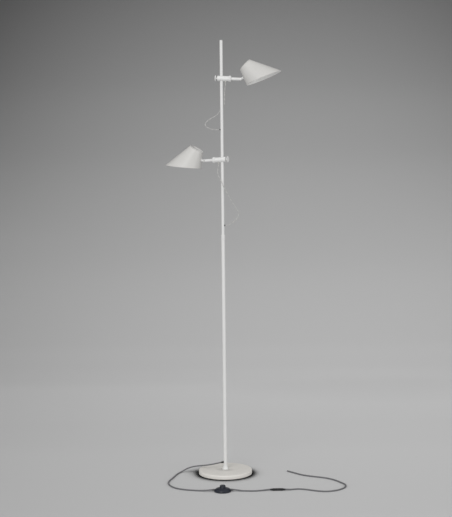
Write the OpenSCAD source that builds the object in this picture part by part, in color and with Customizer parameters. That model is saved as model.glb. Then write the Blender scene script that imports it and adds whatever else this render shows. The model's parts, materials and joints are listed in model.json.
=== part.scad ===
// Pole floor lamp with two sliding heads on a weighted disc base, in millimetres.
// +Z is up. The origin is the middle of the base pad's underside, on the floor.
// +X is the side on which the upper head points, and -Y is the front of the lamp.

/* [Pole] */
// Height from the floor to the top of the pole cap
lamp_height = 1600; // [1560:5:1800]
// Height of the joint between the lower and the upper tube
joint_height = 893; // [860:1:905]
// Outer diameter of the lower tube
lower_tube_d = 13.5; // [13.3:0.1:15]
// Wall of the lower tube
lower_tube_wall = 1.2; // [1:0.05:1.2]
// Outer diameter of the upper tube
upper_tube_d = 11; // [10:0.1:11]
// Wall of the upper tube
upper_tube_wall = 1; // [0.8:0.1:1.5]
// How far the upper tube goes down into the lower one
tube_overlap = 70; // [40:5:120]
// Length of the ferrule on top of the lower tube
ferrule_h = 20; // [12:1:30]
// Height of the part of the cap that shows
cap_h = 2.5; // [1.5:0.5:5]

/* [Base] */
// Diameter of the base
base_d = 198; // [170:1:240]
// Height of the base's top above the floor
base_h = 16; // [15:0.5:24]
// Sheet thickness of the base cover
cover_wall = 1.5; // [1:0.1:2]
// Rounding of the base's top edge
base_edge = 3; // [2:0.5:4.5]
// Thickness of the felt pad under the base
pad_h = 2.5; // [1.5:0.5:4]
// How far the pad's edge lies inside the base's edge
pad_inset = 2; // [2:0.5:12]
// Height of the cover's lower edge above the floor
cover_lift = 1.6; // [0.4:0.1:2.4]
// Diameter of the flared collar at the pole's foot
foot_collar_d = 24; // [20:0.5:34]
// Height of the flared collar
foot_collar_h = 15; // [8:0.5:20]
// Thread diameter of the bolt that holds the pole to the base
base_bolt_d = 8; // [6:0.5:8]

/* [Heads] */
// From the pole's top down to the upper head's arm
upper_arm_drop = 138; // [110:1:160]
// From the pole's top down to the lower head's arm
lower_arm_drop = 432; // [400:1:450]
// Direction of the upper arm round the pole
upper_arm_turn = -8; // [-30:1:30]
// Direction of the lower arm round the pole
lower_arm_turn = 160; // [130:1:200]
// Angle of the upper shade's axis below the horizontal
upper_aim = 43.5; // [30:0.5:70]
// Angle of the lower shade's axis below the horizontal
lower_aim = 59.5; // [30:0.5:75]
// Angle by which the arms droop
arm_droop = 3; // [0:0.5:5]

/* [Clamps] */
// Diameter of the clamp body
clamp_d = 19.5; // [18:0.5:24]
// From the pole's axis to the clamp's rear face
clamp_back = 14.5; // [12:0.5:20]
// From the pole's axis to the clamp's waist
clamp_front = 11.3; // [10:0.1:12]
// Diameter of the waist
waist_d = 18.5; // [18:0.1:19.5]
// From the pole's axis to the collar
waist_end = 27.2; // [26:0.2:32]
// Diameter of the collar that holds the arm
collar_d = 22; // [20.5:0.5:26]
// Length of the collar
collar_len = 8.4; // [7:0.2:12]
// Wall of the plastic liner between the clamp and the pole
liner_wall = 1; // [0.8:0.1:1.2]
// Height of the liner
liner_h = 14; // [10:0.5:14.5]
// Diameter of the thumbscrew's disc
thumb_d = 21; // [16:0.5:28]
// Thickness of the thumbscrew's disc
thumb_t = 3.2; // [2.4:0.2:5]
// Gap between the clamp and the thumbscrew's disc
thumb_gap = 5.6; // [3:0.2:9]

/* [Arms] */
// Diameter of the arm
arm_d = 11; // [10:0.5:12]
// From the pole's axis to the shade's pivot
pivot_reach = 69; // [60:1:110]
// Thickness of the knuckle's tongue
tongue_t = 4; // [3:0.5:5]
// Diameter of the pivot screw
pivot_d = 3; // [2.5:0.5:3.5]
// Diameter of the knuckle's neck
neck_d = 7; // [6.6:0.2:8.4]
// From the pivot to the shade's wall
neck_reach = 12.5; // [11:0.5:20]

/* [Shades] */
// Diameter of the open ring at the top of the shade
ring_d = 51; // [48:1:70]
// Half of the shade's cone angle
half_angle = 23.5; // [20:0.5:28]
// Length of the wall on the side of the arm
short_wall = 61; // [56:1:80]
// Length of the wall on the side away from the arm
long_wall = 122.5; // [110:0.5:150]
// Sheet thickness of the shade
shade_wall = 1.2; // [0.8:0.1:1.6]
// Diameter of the lampholder
holder_d = 24; // [22:0.5:28]
// Length of the lampholder
holder_h = 30; // [26:1:34]
// Diameter of the bulb's glass
bulb_d = 28; // [22:1:34]

/* [Cords] */
// Diameter of the mains cord
mains_d = 5; // [4:0.1:6]
// Diameter of the heads' thin cables
cable_d = 2.5; // [2:0.1:3]
// Diameter of the foot switch
switch_d = 60; // [56:1:70]
// Height of the foot switch's dome
switch_dome_h = 14; // [13:0.5:18]
// Diameter of the foot switch's button
button_d = 20; // [16:0.5:22]
// How far the button stands out of the dome
button_proud = 9; // [5:0.5:12]
// Travel of the button
button_travel = 3; // [1.5:0.5:4]
// Diameter of the inline connector
connector_d = 8.6; // [7.6:0.2:11]

/* [Hidden] */
$fn = 72;

// Radial clearance of pieces that turn or slide, and of pieces that are only fitted
run_gap = 0.1;
fit_gap = 0.05;
// Clearance of flat faces that move past each other
face_gap = 0.2;
// How far a cutting solid reaches past what it cuts
over = 1;
// Small chamfer on turned pieces
chamfer = 0.6;

lacquer = [0.87, 0.86, 0.84];
steel = [0.7, 0.7, 0.7];
dark_plastic = [0.09, 0.09, 0.11];
pale_plastic = [0.82, 0.81, 0.78];
felt = [0.2, 0.2, 0.2];
cord_grey = [0.36, 0.36, 0.37];

// Base and foot
lower_bore = lower_tube_d - 2 * lower_tube_wall;
upper_bore = upper_tube_d - 2 * upper_tube_wall;
washer_d = 3 * base_bolt_d;
washer_h = 0.25 * base_bolt_d;
bolt_head_h = 0.65 * base_bolt_d;
bolt_head_d = 1.85 * base_bolt_d;
bolt_pocket_top = pad_h + bolt_head_h + washer_h + face_gap;
plug_h = 2 * base_bolt_d;
ferrule_wall = 0.5;
ferrule_lip = 3;
cap_plug_h = 12;

// Gland of the mains cord: a drooping sleeve from the tube to the cord's first point
gland_z = 43;
gland_end = [-16.5, 0, 41.2];
gland_d = mains_d + 2.4;
gland_flange_d = 9;
gland_angle = atan2(gland_z - gland_end[2], -gland_end[0] - lower_tube_d / 2);

// Heights of the arms, and of the holes through which the thin cables enter the pole: the
// upper hole is below the upper head, and the lower one is above the joint of the tubes
upper_arm_z = lamp_height - upper_arm_drop;
lower_arm_z = lamp_height - lower_arm_drop;
upper_hole_drop = 185;
lower_hole_rise = 34;
upper_hole_z = upper_arm_z - upper_hole_drop;
lower_hole_z = joint_height + lower_hole_rise;
grommet_d = cable_d + 2;
grommet_proud = 3.5;
lead_d = 2.4;
lead_x = upper_bore / 2 - lead_d / 2 - 0.3;

// Clamp, along the arm from the pole's axis
liner_id = upper_tube_d + 2 * run_gap;
liner_od = liner_id + 2 * liner_wall;
clamp_bore = liner_od + 2 * run_gap;
screw_d = 5;
screw_tip = liner_od / 2 + face_gap;
thumb_neck_d = 6;
spigot_d = waist_d - 1.5;
hub_d = spigot_d - 3;
collar_end = waist_end + collar_len;
collar_lip = 2;
spigot_end = collar_end - collar_lip;
socket_start = waist_end - 5;
washer_t = 0.8;
hub_start = socket_start + washer_t + face_gap;
cable_exit = 15.3;
exit_grommet_h = 4.2;
exit_grommet_d = cable_d + 2.5;
lead_bore = lead_d + 1;

// Knuckle and shade: the pivot in the shade's frame, whose origin is the ring's middle
slot_depth = arm_d / 2 + 0.5;
tongue_r = arm_d / 2 - 0.9;
cheek_r = arm_d / 2 + 0.4;
neck_start = cheek_r + 0.5;
screw_head_d = pivot_d + 2.4;
screw_head_h = 1.4;
flange_d = neck_d + 6;
spigot_neck_d = neck_d - 1;
plate_gap = 0.45;
plate_t = 1.5;
plate_start = neck_reach + shade_wall + plate_gap;
nut_start = plate_start + plate_t + fit_gap;
nut_h = 2.8;
ring_r = ring_d / 2;
mount_x = -ring_r - short_wall / 2 * sin(half_angle);
mount_z = -short_wall / 2 * cos(half_angle);
pivot_x = mount_x - neck_reach * cos(half_angle);
pivot_z = mount_z + neck_reach * sin(half_angle);
short_x = -ring_r - short_wall * sin(half_angle);
short_z = -short_wall * cos(half_angle);
long_x = ring_r + long_wall * sin(half_angle);
long_z = -long_wall * cos(half_angle);
cut_angle = atan2(short_z - long_z, long_x - short_x);
holder_top = -6;
holder_wall = 4;
holder_floor = 8;
clip_h = 6;
clip_wall = 1.4;
clip_top = mount_z + 8;
strap_w = 10;
strap_plate_h = 16;
strut_drop = 3.5;
nut_proud = 0.4;
bulb_seat = holder_top - holder_floor - 0.3;
bulb_drop = holder_h - holder_floor;

// Foot switch and inline connector
switch_at = [-10, -250, 0];
switch_rim_h = 4.6;
switch_wall = 1.8;
switch_floor_h = 2.4;
sleeve_z = 6;
sleeve_d = mains_d + 2;
sleeve_end = switch_d / 2 + 8.2;
sleeve_inside = 11.8;
terminal_x = 0.35 * switch_d / 2;
terminal_size = [7.4, 12, 4];
button_flange_h = 1.4;
spring_wire = 1;
spring_turns = 6;
spring_r = button_d / 2 - 4.5;
connector_at = [158, -246, connector_d / 2 + 0.1];
connector_nose = 9;
connector_half = 27;
pin_d = 2.5;
pin_len = 16;
pin_in_socket = 11;
grip_pitch = 3.6;
grip_w = 1;
grip_depth = 0.4;

// Each head: height, turn round the pole, and aim of its shade
upper = [upper_arm_z, upper_arm_turn, upper_aim];
lower = [lower_arm_z, lower_arm_turn, lower_aim];

// Routes of the cords. Those of the thin cables run from the clamp down to the pole's hole:
// the short first stretch winds when the head turns, and the rest gives when it slides.
upper_twist_route = [[14.4, -2, 1447.7], [14.4, -2, 1441], [14, -2, 1434], [12.6, -2, 1426],
    [11.6, -2, 1418], [11.2, -2, 1410]];
upper_cable_route = [[11.2, -2, 1409.7], [11, -1.5, 1401], [10.8, -0.5, 1391], [10.6, 1.5, 1381],
    [9.8, 5, 1371], [6.5, 9, 1362], [0.5, 11.5, 1354], [-7, 11.5, 1344], [-14, 10, 1335],
    [-22, 8, 1328], [-29, 5.5, 1323.5], [-37, 3, 1319.5], [-45, 0.5, 1314.5],
    [-53, -1.5, 1308.5], [-59, -3, 1302], [-61, -4, 1295], [-57.5, -4, 1288.5],
    [-50.5, -3.5, 1284], [-42, -2.5, 1280.5], [-33, -1.5, 1278], [-24, -0.5, 1277],
    [-16, 0, 1277], [-9, 0, 1277]];
lower_twist_route = [[-13.7, 5, 1153.7], [-13.7, 5, 1147], [-14.5, 4.5, 1140],
    [-16.2, 3.5, 1133], [-17.6, 1.5, 1126]];
lower_cable_route = [[-17.7, 1.3, 1125.7], [-17, -1.5, 1118], [-15, -5, 1111],
    [-11.5, -8, 1103], [-7.5, -10.5, 1094], [-3, -11.5, 1085], [1, -12, 1076], [6, -11.5, 1065],
    [12, -11, 1054], [18.5, -10, 1042], [25, -9, 1029], [32, -8, 1016.5], [40, -6.5, 1004],
    [48, -5, 992.5], [54.5, -4, 982], [57.5, -3, 972], [56.5, -2, 962], [51.5, -1.5, 952.5],
    [44, -1, 944], [35, -0.5, 937], [26, 0, 930.8], [18.5, 0, 927.6], [13, 0, 927],
    [9, 0, 927]];
mains_base_route = [gland_end, [-20.5, 0, 40.46], [-30, 0.3, 38.5], [-42, 1.5, 35.8],
    [-54, 3.5, 33], [-70, 9, 29.4], [-84, 18, 25.6], [-97, 26, 22.8], [-112, 31, 20],
    [-128, 33, 16.4], [-143, 32, 11.6], [-157, 24, 5.8],
    [-168, 11, 2.8], [-177, -8, 2.6], [-184, -31, 2.6], [-190, -56, 2.6], [-197, -81, 2.6],
    [-204, -107, 2.6], [-207, -133, 2.6], [-204, -158, 2.6], [-196, -181, 2.6],
    [-183, -202, 2.6], [-165, -219, 2.6], [-142, -231, 2.6], [-116, -239, 2.6],
    [-90, -245, 2.8], [-68, -249, 4.4], [-53.2, -250, 6], [-48.2, -250, 6]];
mains_link_route = [[28.2, -250, 6], [33.2, -250, 6], [45, -250.6, 4.4], [58, -252, 2.8], [76, -254, 2.6],
    [96, -255.5, 2.6], [114, -254, 2.6], [130, -250, 2.7], [143, -247, 3.6],
    [153, -246, 4.4], [158, -246, 4.4]];
mains_tail_route = [[212, -246, 4.4], [217, -246, 4.4], [228, -243.5, 3.2], [240, -239, 2.6],
    [257, -236, 2.6], [274, -239, 2.6], [292, -247, 2.6], [312, -258, 2.6], [334, -267, 2.6], [358, -271, 2.6],
    [382, -264, 2.6], [404, -249, 2.6], [421, -228, 2.6], [430, -203, 2.6],
    [428, -178, 2.6], [417, -155, 2.6], [404, -131, 2.6], [388, -109, 2.6], [367, -91, 2.6],
    [343, -77, 2.6], [318, -65, 2.6], [295, -52, 2.6], [275, -35, 2.6], [258, -15, 2.6],
    [245, 0, 2.6], [232, 15, 2.6]];
// Rings between two neighbouring points of a route
mains_steps = 1;
cable_steps = 2;

// A point on the smooth curve through four neighbouring points
function curve_at(a, b, c, d, t) = 0.5 * (2 * b + (c - a) * t
    + (2 * a - 5 * b + 4 * c - d) * t * t + (3 * b - a - 3 * c + d) * t * t * t);
function smooth(p, n) = [
    for (i = [0:len(p) - 2], k = [0:n - 1])
        curve_at(p[max(i - 1, 0)], p[i], p[i + 1], p[min(i + 2, len(p) - 1)], k / n),
    p[len(p) - 1]];
function unit(v) = v / norm(v);
function heading(p, i) = unit(p[min(i + 1, len(p) - 1)] - p[max(i - 1, 0)]);
// A direction square to v, and the part of n that is square to v
function any_side(v) = unit(cross(v, abs(v[2]) < 0.7 ? [0, 0, 1] : [0, 1, 0]));
function squared(n, v) = unit(n - (n * v) * v);
// One direction square to the route at each of its points, carried along without twist
function sides(p) = [
    for (i = 0, n = any_side(heading(p, 0)); i < len(p);
        i = i + 1, n = squared(n, heading(p, min(i, len(p) - 1)))) n];
function route_length(p) = len(p) < 2 ? 0 : [for (i = 0, s = 0; i < len(p);
    i = i + 1, s = i < len(p) ? s + norm(p[i] - p[i - 1]) : s) s][len(p) - 1];

// A closed tube of diameter d and n sides through the points p
module swept_tube(p, d, n) {
    side = sides(p);
    last = len(p) - 1;
    points = [for (i = [0:last], k = [0:n - 1])
        p[i] + d / 2 * (cos(360 * k / n) * side[i]
            + sin(360 * k / n) * cross(heading(p, i), side[i]))];
    walls = [for (i = [0:last - 1], k = [0:n - 1], half = [0, 1])
        let (a = i * n + k, b = i * n + (k + 1) % n)
            half == 0 ? [a, a + n, b + n] : [a, b + n, b]];
    ends = [for (k = [1:n - 2], far = [0, 1])
        far == 0 ? [0, k, k + 1] : [last * n, last * n + k + 1, last * n + k]];
    polyhedron(points, concat(walls, ends));
}

// A turned rod along +X from x0 to x1, with the chamfer c at both ends
module rod(d, x0, x1, c = 0) {
    rotate([0, 90, 0]) rotate_extrude()
        polygon([[0, x0], [d / 2 - c, x0], [d / 2, x0 + c], [d / 2, x1 - c],
            [d / 2 - c, x1], [0, x1]]);
}

// A plain round hole along +X from x0 to x1
module drill(d, x0, x1) {
    translate([x0, 0, 0]) rotate([0, 90, 0]) cylinder(d = d, h = x1 - x0);
}

// Frame of a head's arm: the origin on the pole's axis and +X along the arm
module at_arm(head) {
    translate([0, 0, head[0]]) rotate([0, 0, head[1]]) rotate([0, arm_droop, 0]) children();
}

// Frame of a head's shade: the origin in the ring's middle and -Z towards the opening
module at_shade(head) {
    at_arm(head) translate([pivot_reach, 0, 0]) rotate([0, head[2] - 90 - arm_droop, 0])
        translate([-pivot_x, 0, -pivot_z]) children();
}

// Frame of a shade's neck: the origin at the pivot and +X through the shade's wall
module at_neck(head) {
    at_shade(head) neck_frame() children();
}

module neck_frame() {
    translate([pivot_x, 0, pivot_z]) rotate([0, half_angle, 0]) children();
}

module base_pad() {
    color(felt) cylinder(d = base_d - 2 * pad_inset, h = pad_h, $fn = 144);
}

module base_weight() {
    color(steel) difference() {
        translate([0, 0, pad_h]) cylinder(d = base_d - 2 * (cover_wall + face_gap),
            h = base_h - cover_wall - face_gap - pad_h - base_edge, $fn = 144);
        translate([0, 0, pad_h - over]) cylinder(d = washer_d + 2 * run_gap,
            h = bolt_pocket_top - pad_h + over);
        cylinder(d = base_bolt_d + 2 * run_gap, h = base_h);
    }
}

module base_cover() {
    r = base_d / 2;
    color(lacquer) difference() {
        translate([0, 0, cover_lift]) rounded_disc(r, base_h - cover_lift, base_edge);
        translate([0, 0, cover_lift - over])
            rounded_disc(r - cover_wall, base_h - cover_lift - cover_wall + over,
                base_edge - cover_wall / 2);
        cylinder(d = base_bolt_d + 2 * run_gap, h = base_h + over);
    }
}

// A disc of radius r and height h whose top edge has the rounding e
module rounded_disc(r, h, e) {
    rotate_extrude($fn = 144) {
        square([r - e, h]);
        square([r, h - e]);
        translate([r - e, h - e]) circle(r = e, $fn = 48);
    }
}

module base_washer() {
    z = pad_h + bolt_head_h + face_gap / 2;
    color(steel) translate([0, 0, z]) difference() {
        cylinder(d = washer_d, h = washer_h);
        translate([0, 0, -over]) cylinder(d = base_bolt_d + 2 * fit_gap, h = washer_h + 2 * over);
    }
}

module base_bolt() {
    color(steel) {
        translate([0, 0, pad_h]) cylinder(d = bolt_head_d, h = bolt_head_h, $fn = 6);
        translate([0, 0, pad_h + bolt_head_h - over / 2])
            cylinder(d = base_bolt_d, h = base_h - pad_h - bolt_head_h + plug_h - 2);
    }
}

module foot_collar() {
    top_d = lower_tube_d + 1.6;
    color(lacquer) translate([0, 0, base_h]) difference() {
        rotate_extrude() polygon([[0, 0], [foot_collar_d / 2, 0],
            [foot_collar_d / 2, 0.2 * foot_collar_h],
            [(foot_collar_d + top_d) / 4, 0.55 * foot_collar_h],
            [top_d / 2, foot_collar_h], [0, foot_collar_h]]);
        translate([0, 0, -over]) cylinder(d = lower_tube_d + 2 * fit_gap,
            h = foot_collar_h + 2 * over);
    }
}

module foot_plug() {
    color(steel) translate([0, 0, base_h]) difference() {
        cylinder(d = lower_bore - 2 * fit_gap, h = plug_h);
        translate([0, 0, -over]) cylinder(d = base_bolt_d + 2 * fit_gap, h = plug_h + 2 * over);
    }
}

module lower_tube() {
    color(lacquer) difference() {
        translate([0, 0, base_h]) cylinder(d = lower_tube_d, h = joint_height - ferrule_lip - base_h);
        translate([0, 0, base_h - over]) cylinder(d = lower_bore, h = joint_height);
        translate([0, 0, gland_z]) rotate([0, -90, 0])
            cylinder(d = gland_d + 2 * fit_gap, h = lower_tube_d);
    }
}

module joint_ferrule() {
    d = lower_tube_d + 2 * ferrule_wall;
    color(lacquer) difference() {
        translate([0, 0, joint_height - ferrule_h]) rotate_extrude()
            polygon([[0, 0], [d / 2, 0], [d / 2, ferrule_h - chamfer],
                [d / 2 - chamfer, ferrule_h], [0, ferrule_h]]);
        translate([0, 0, joint_height - ferrule_h - over])
            cylinder(d = lower_tube_d + 2 * fit_gap, h = ferrule_h + over - ferrule_lip);
        translate([0, 0, joint_height - ferrule_h])
            cylinder(d = upper_tube_d + 2 * fit_gap, h = ferrule_h + over);
    }
}

module upper_tube() {
    bottom = joint_height - tube_overlap;
    color(lacquer) difference() {
        translate([0, 0, bottom]) cylinder(d = upper_tube_d, h = lamp_height - cap_h - bottom);
        translate([0, 0, bottom - over]) cylinder(d = upper_bore, h = lamp_height);
        translate([0, 0, upper_hole_z]) rotate([0, -90, 0])
            cylinder(d = grommet_d + 2 * fit_gap, h = upper_tube_d);
        translate([0, 0, lower_hole_z]) rotate([0, 90, 0])
            cylinder(d = grommet_d + 2 * fit_gap, h = upper_tube_d);
    }
}

module top_cap() {
    color(lacquer) translate([0, 0, lamp_height - cap_h]) {
        rotate_extrude() polygon([[0, 0], [upper_tube_d / 2, 0],
            [upper_tube_d / 2, cap_h - chamfer], [upper_tube_d / 2 - chamfer, cap_h], [0, cap_h]]);
        translate([0, 0, -cap_plug_h]) cylinder(d = upper_bore - 2 * fit_gap, h = cap_plug_h + 0.1);
    }
}

// The two thin leads inside the pole, from the gland up to the holes
module riser_leads() {
    start = gland_z + gland_d / 2 + 1;
    color(pale_plastic) {
        translate([-lead_x, 0, start]) cylinder(d = lead_d, h = upper_hole_z - start);
        translate([lead_x, 0, start]) cylinder(d = lead_d, h = lower_hole_z - start);
    }
}

module mains_gland() {
    reach = norm([gland_end[0] + lower_tube_d / 2, gland_end[2] - gland_z]);
    color(dark_plastic) difference() {
        union() {
            translate([-lower_tube_d / 2, 0, gland_z]) rotate([0, 180 - gland_angle, 0]) {
                rotate([0, 90, 0]) cylinder(d1 = gland_d - 0.4, d2 = mains_d + 0.6, h = reach);
            }
            translate([0, 0, gland_z]) rotate([0, -90, 0]) {
                cylinder(d = gland_flange_d, h = lower_tube_d / 2 + 1.4);
            }
        }
        cylinder(d = lower_tube_d + 2 * fit_gap, h = 2 * gland_z);
    }
    color(dark_plastic) translate([0, 0, gland_z]) rotate([0, -90, 0])
        translate([0, 0, lower_bore / 2 - 0.5])
            cylinder(d = gland_d, h = lower_tube_wall + 1);
}

// The two grommets at the holes in the upper tube, the upper on -X and the lower on +X
module hole_grommets() {
    color(dark_plastic) {
        translate([0, 0, upper_hole_z]) mirror([1, 0, 0]) hole_grommet();
        translate([0, 0, lower_hole_z]) hole_grommet();
    }
}

module hole_grommet() {
    difference() {
        union() {
            drill(grommet_d + 1.6, upper_bore / 2, upper_tube_d / 2 + 1.2);
            drill(grommet_d - 0.4, upper_bore / 2, upper_tube_d / 2 + grommet_proud);
        }
        cylinder(d = upper_tube_d + 2 * fit_gap, h = 3 * grommet_d, center = true);
    }
    drill(grommet_d, upper_bore / 2 - 0.2, upper_tube_d / 2 + 0.6);
}

// Split plastic sleeve between the pole and the clamp: it slides, and the clamp turns on it
module liner(head) {
    color(pale_plastic) translate([0, 0, head[0]]) rotate([0, 0, head[1]]) difference() {
        cylinder(d = liner_od, h = liner_h, center = true);
        cylinder(d = liner_id, h = liner_h + 2 * over, center = true);
        translate([0, -0.75, -liner_h]) cube([liner_od, 1.5, 2 * liner_h]);
    }
}

module clamp() {
    color(lacquer) difference() {
        union() {
            rod(clamp_d, -clamp_back, clamp_front, chamfer);
            rod(waist_d, clamp_front - 2 * chamfer, waist_end);
            rod(spigot_d, waist_end - over, spigot_end);
        }
        rotate([0, -arm_droop, 0]) cylinder(d = clamp_bore, h = 2 * clamp_d, center = true);
        drill(screw_d + 2 * fit_gap, -clamp_back - over, 0);
        drill(hub_d + 2 * run_gap, socket_start, spigot_end + over);
        drill(lead_bore, cable_exit - lead_bore / 2, socket_start + over);
        translate([cable_exit, 0, -clamp_d]) {
            cylinder(d = lead_bore, h = clamp_d);
            cylinder(d = exit_grommet_d + 2 * fit_gap, h = clamp_d - waist_d / 2 + 3);
        }
    }
}

module collar() {
    color(lacquer) difference() {
        rod(collar_d, waist_end + fit_gap, collar_end, chamfer);
        drill(spigot_d + 2 * fit_gap, waist_end - over, spigot_end + fit_gap);
        drill(arm_d + 2 * run_gap, waist_end, collar_end + over);
    }
}

module thumbscrew() {
    disc = -clamp_back - thumb_gap;
    face = disc - thumb_t;
    dish = 0.35 * thumb_t;
    color(lacquer) {
        rod(screw_d, disc - dish, -screw_tip, chamfer);
        rod(thumb_neck_d, disc - dish, -clamp_back - face_gap);
        rotate([0, 90, 0]) rotate_extrude() polygon([[0, face + dish],
            [0.3 * thumb_d, face + 0.7 * dish], [0.42 * thumb_d, face],
            [thumb_d / 2 - chamfer, face], [thumb_d / 2, face + chamfer],
            [thumb_d / 2, disc - chamfer], [thumb_d / 2 - chamfer, disc], [0, disc]]);
    }
}

// Spring washer behind the arm's hub: it gives the arm its friction
module friction_washer() {
    color(steel) difference() {
        drill(hub_d - 2 * run_gap, socket_start + fit_gap, socket_start + fit_gap + washer_t);
        drill(lead_bore + 1, socket_start - over, hub_start + over);
    }
}

module arm() {
    end = pivot_reach + cheek_r;
    color(lacquer) difference() {
        union() {
            rod(hub_d, hub_start, spigot_end - face_gap, 0.3);
            rod(arm_d, spigot_end - over, pivot_reach);
            intersection() {
                rod(arm_d, pivot_reach - over, end + over);
                translate([pivot_reach, 0, 0]) rotate([90, 0, 0])
                    cylinder(r = cheek_r, h = 2 * arm_d, center = true);
            }
        }
        drill(lead_bore, hub_start - over, pivot_reach);
        translate([pivot_reach - slot_depth, -tongue_t / 2 - face_gap, -arm_d])
            cube([2 * arm_d, tongue_t + 2 * face_gap, 2 * arm_d]);
        translate([pivot_reach, 0, 0]) rotate([90, 0, 0]) {
            cylinder(d = pivot_d + 2 * fit_gap, h = 2 * arm_d, center = true);
            for (side = [0, 1]) mirror([0, 0, side])
                translate([0, 0, arm_d / 2 - screw_head_h - 0.2])
                    cylinder(d = screw_head_d + 2 * fit_gap, h = arm_d);
        }
    }
}

// Screw through the arm's cheeks, with its head in front and its nut behind
module pivot_screw() {
    seat = arm_d / 2 - screw_head_h - 0.2;
    color(steel) translate([pivot_reach, 0, 0]) rotate([90, 0, 0]) {
        difference() {
            union() {
                translate([0, 0, -seat - screw_head_h]) cylinder(d = pivot_d, h = 2 * seat + screw_head_h);
                translate([0, 0, seat]) cylinder(d = screw_head_d, h = screw_head_h);
            }
            translate([-screw_head_d, -0.4, seat + screw_head_h / 2])
                cube([2 * screw_head_d, 0.8, screw_head_h]);
        }
        translate([0, 0, -seat - screw_head_h]) difference() {
            cylinder(d = screw_head_d, h = screw_head_h);
            translate([0, 0, -over]) cylinder(d = pivot_d + 2 * fit_gap, h = screw_head_h + 2 * over);
        }
    }
}

// Tongue, neck, flange and the threaded end that goes through the shade's wall
module knuckle() {
    end = nut_start + nut_h + nut_proud;
    color(lacquer) difference() {
        union() {
            rotate([90, 0, 0]) linear_extrude(tongue_t, center = true) {
                circle(r = tongue_r);
                translate([0, -tongue_r * 0.75]) square([neck_start + over, 1.5 * tongue_r]);
            }
            rod(neck_d, neck_start, neck_reach - 1);
            rod(flange_d, neck_reach - 1.4, neck_reach, 0.3);
            rod(spigot_neck_d, neck_reach - over, end);
        }
        rotate([90, 0, 0]) cylinder(d = pivot_d + 2 * run_gap, h = 2 * arm_d, center = true);
        drill(lead_d + 0.2, pivot_d, end + over);
    }
}

module shade() {
    depth = long_wall * cos(half_angle) + over;
    slope = tan(half_angle);
    inner_r = ring_r - shade_wall / cos(half_angle);
    color(lacquer) difference() {
        translate([0, 0, -depth]) cylinder(h = depth, r1 = ring_r + depth * slope, r2 = ring_r,
            $fn = 144);
        translate([0, 0, -depth - over]) cylinder(h = depth + 2 * over,
            r1 = inner_r + (depth + over) * slope, r2 = inner_r - over * slope, $fn = 144);
        translate([short_x, 0, short_z]) rotate([0, cut_angle, 0])
            translate([-long_wall, -2 * long_wall, -2 * long_wall])
                cube([4 * long_wall, 4 * long_wall, 2 * long_wall]);
        neck_frame() drill(spigot_neck_d + 2 * fit_gap, neck_reach - over, plate_start + over);
    }
}

module shade_nut() {
    color(steel) difference() {
        translate([nut_start, 0, 0]) rotate([0, 90, 0])
            cylinder(d = spigot_neck_d + 5, h = nut_h, $fn = 6);
        drill(spigot_neck_d + 2 * fit_gap, nut_start - over, nut_start + nut_h + over);
    }
}

// Bent strap from the shade's wall to a clip round the lampholder
module holder_bracket() {
    strut_z = clip_top - strut_drop;
    plate_x = mount_x + (plate_start - neck_reach + plate_t / 2) / cos(half_angle)
        + (strut_z + plate_t / 2 - mount_z) * tan(half_angle);
    color(steel) difference() {
        union() {
            neck_frame() difference() {
                translate([plate_start, -strap_w / 2, -strap_plate_h / 2])
                    cube([plate_t, strap_w, strap_plate_h]);
                drill(spigot_neck_d + 2 * fit_gap, neck_reach, plate_start + 2 * plate_t);
            }
            translate([plate_x, -strap_w / 2, strut_z]) cube([-plate_x, strap_w, plate_t]);
            translate([0, 0, clip_top - clip_h])
                cylinder(d = holder_d + 2 * clip_wall, h = clip_h);
        }
        translate([0, 0, clip_top - 2 * clip_h])
            cylinder(d = holder_d + 2 * fit_gap, h = 3 * clip_h);
    }
}

module lampholder() {
    r = holder_d / 2;
    color(dark_plastic) translate([0, 0, holder_top]) rotate_extrude()
        polygon([[0, 0], [r / 2, 0], [0.8 * r, -1.6], [r, -5], [r, -holder_h],
            [r - holder_wall, -holder_h], [r - holder_wall, -holder_floor], [0, -holder_floor]]);
}

// Small pear-shaped bulb: its cap is in the lampholder
module bulb() {
    r = bulb_d / 2;
    cap_r = holder_d / 2 - holder_wall - 1;
    middle = bulb_seat - bulb_drop - 1.4 * r;
    color([0.97, 0.96, 0.92]) {
        translate([0, 0, bulb_seat - bulb_drop]) cylinder(r = cap_r, h = bulb_drop);
        translate([0, 0, middle + 0.3 * r]) cylinder(r1 = r * cos(asin(0.3)), r2 = cap_r,
            h = 1.1 * r + 0.1);
        translate([0, 0, middle]) sphere(r = r);
    }
}

// Grommet under the clamp's waist, where the thin cable comes out
module exit_grommet() {
    under = -waist_d / 2;
    color(pale_plastic) translate([cable_exit, 0, 0]) {
        translate([0, 0, under - exit_grommet_h])
            cylinder(d1 = cable_d + 1, d2 = exit_grommet_d, h = exit_grommet_h);
        translate([0, 0, under - 1.2]) cylinder(d = exit_grommet_d + 2, h = 1.1);
        translate([0, 0, under - 0.4]) cylinder(d = exit_grommet_d, h = 3);
    }
}

module cable(route) {
    color(pale_plastic) swept_tube(smooth(route, cable_steps), cable_d, 8);
}

module mains(route) {
    color(cord_grey) swept_tube(smooth(route, mains_steps), mains_d, 8);
}

module switch_base() {
    color(dark_plastic) translate(switch_at) {
        cylinder(d = switch_d - 2 * switch_wall - 2 * face_gap, h = switch_floor_h);
        cylinder(d = 2 * spring_r - spring_wire - 2, h = 2 * switch_rim_h);
    }
}

// Points of the dome from the rim up to the button's hole, drawn in by w
function dome_points(w) = let (
    foot = [switch_d / 2 - w, switch_rim_h - 0.3 * w],
    bulge = [0.87 * switch_d / 2 - 0.6 * w, 0.9 * switch_dome_h - 0.8 * w],
    top = [button_d / 2 + 1.5, switch_dome_h - w])
    [for (t = [0:0.125:1]) (1 - t) * (1 - t) * foot + 2 * t * (1 - t) * bulge + t * t * top];

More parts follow.
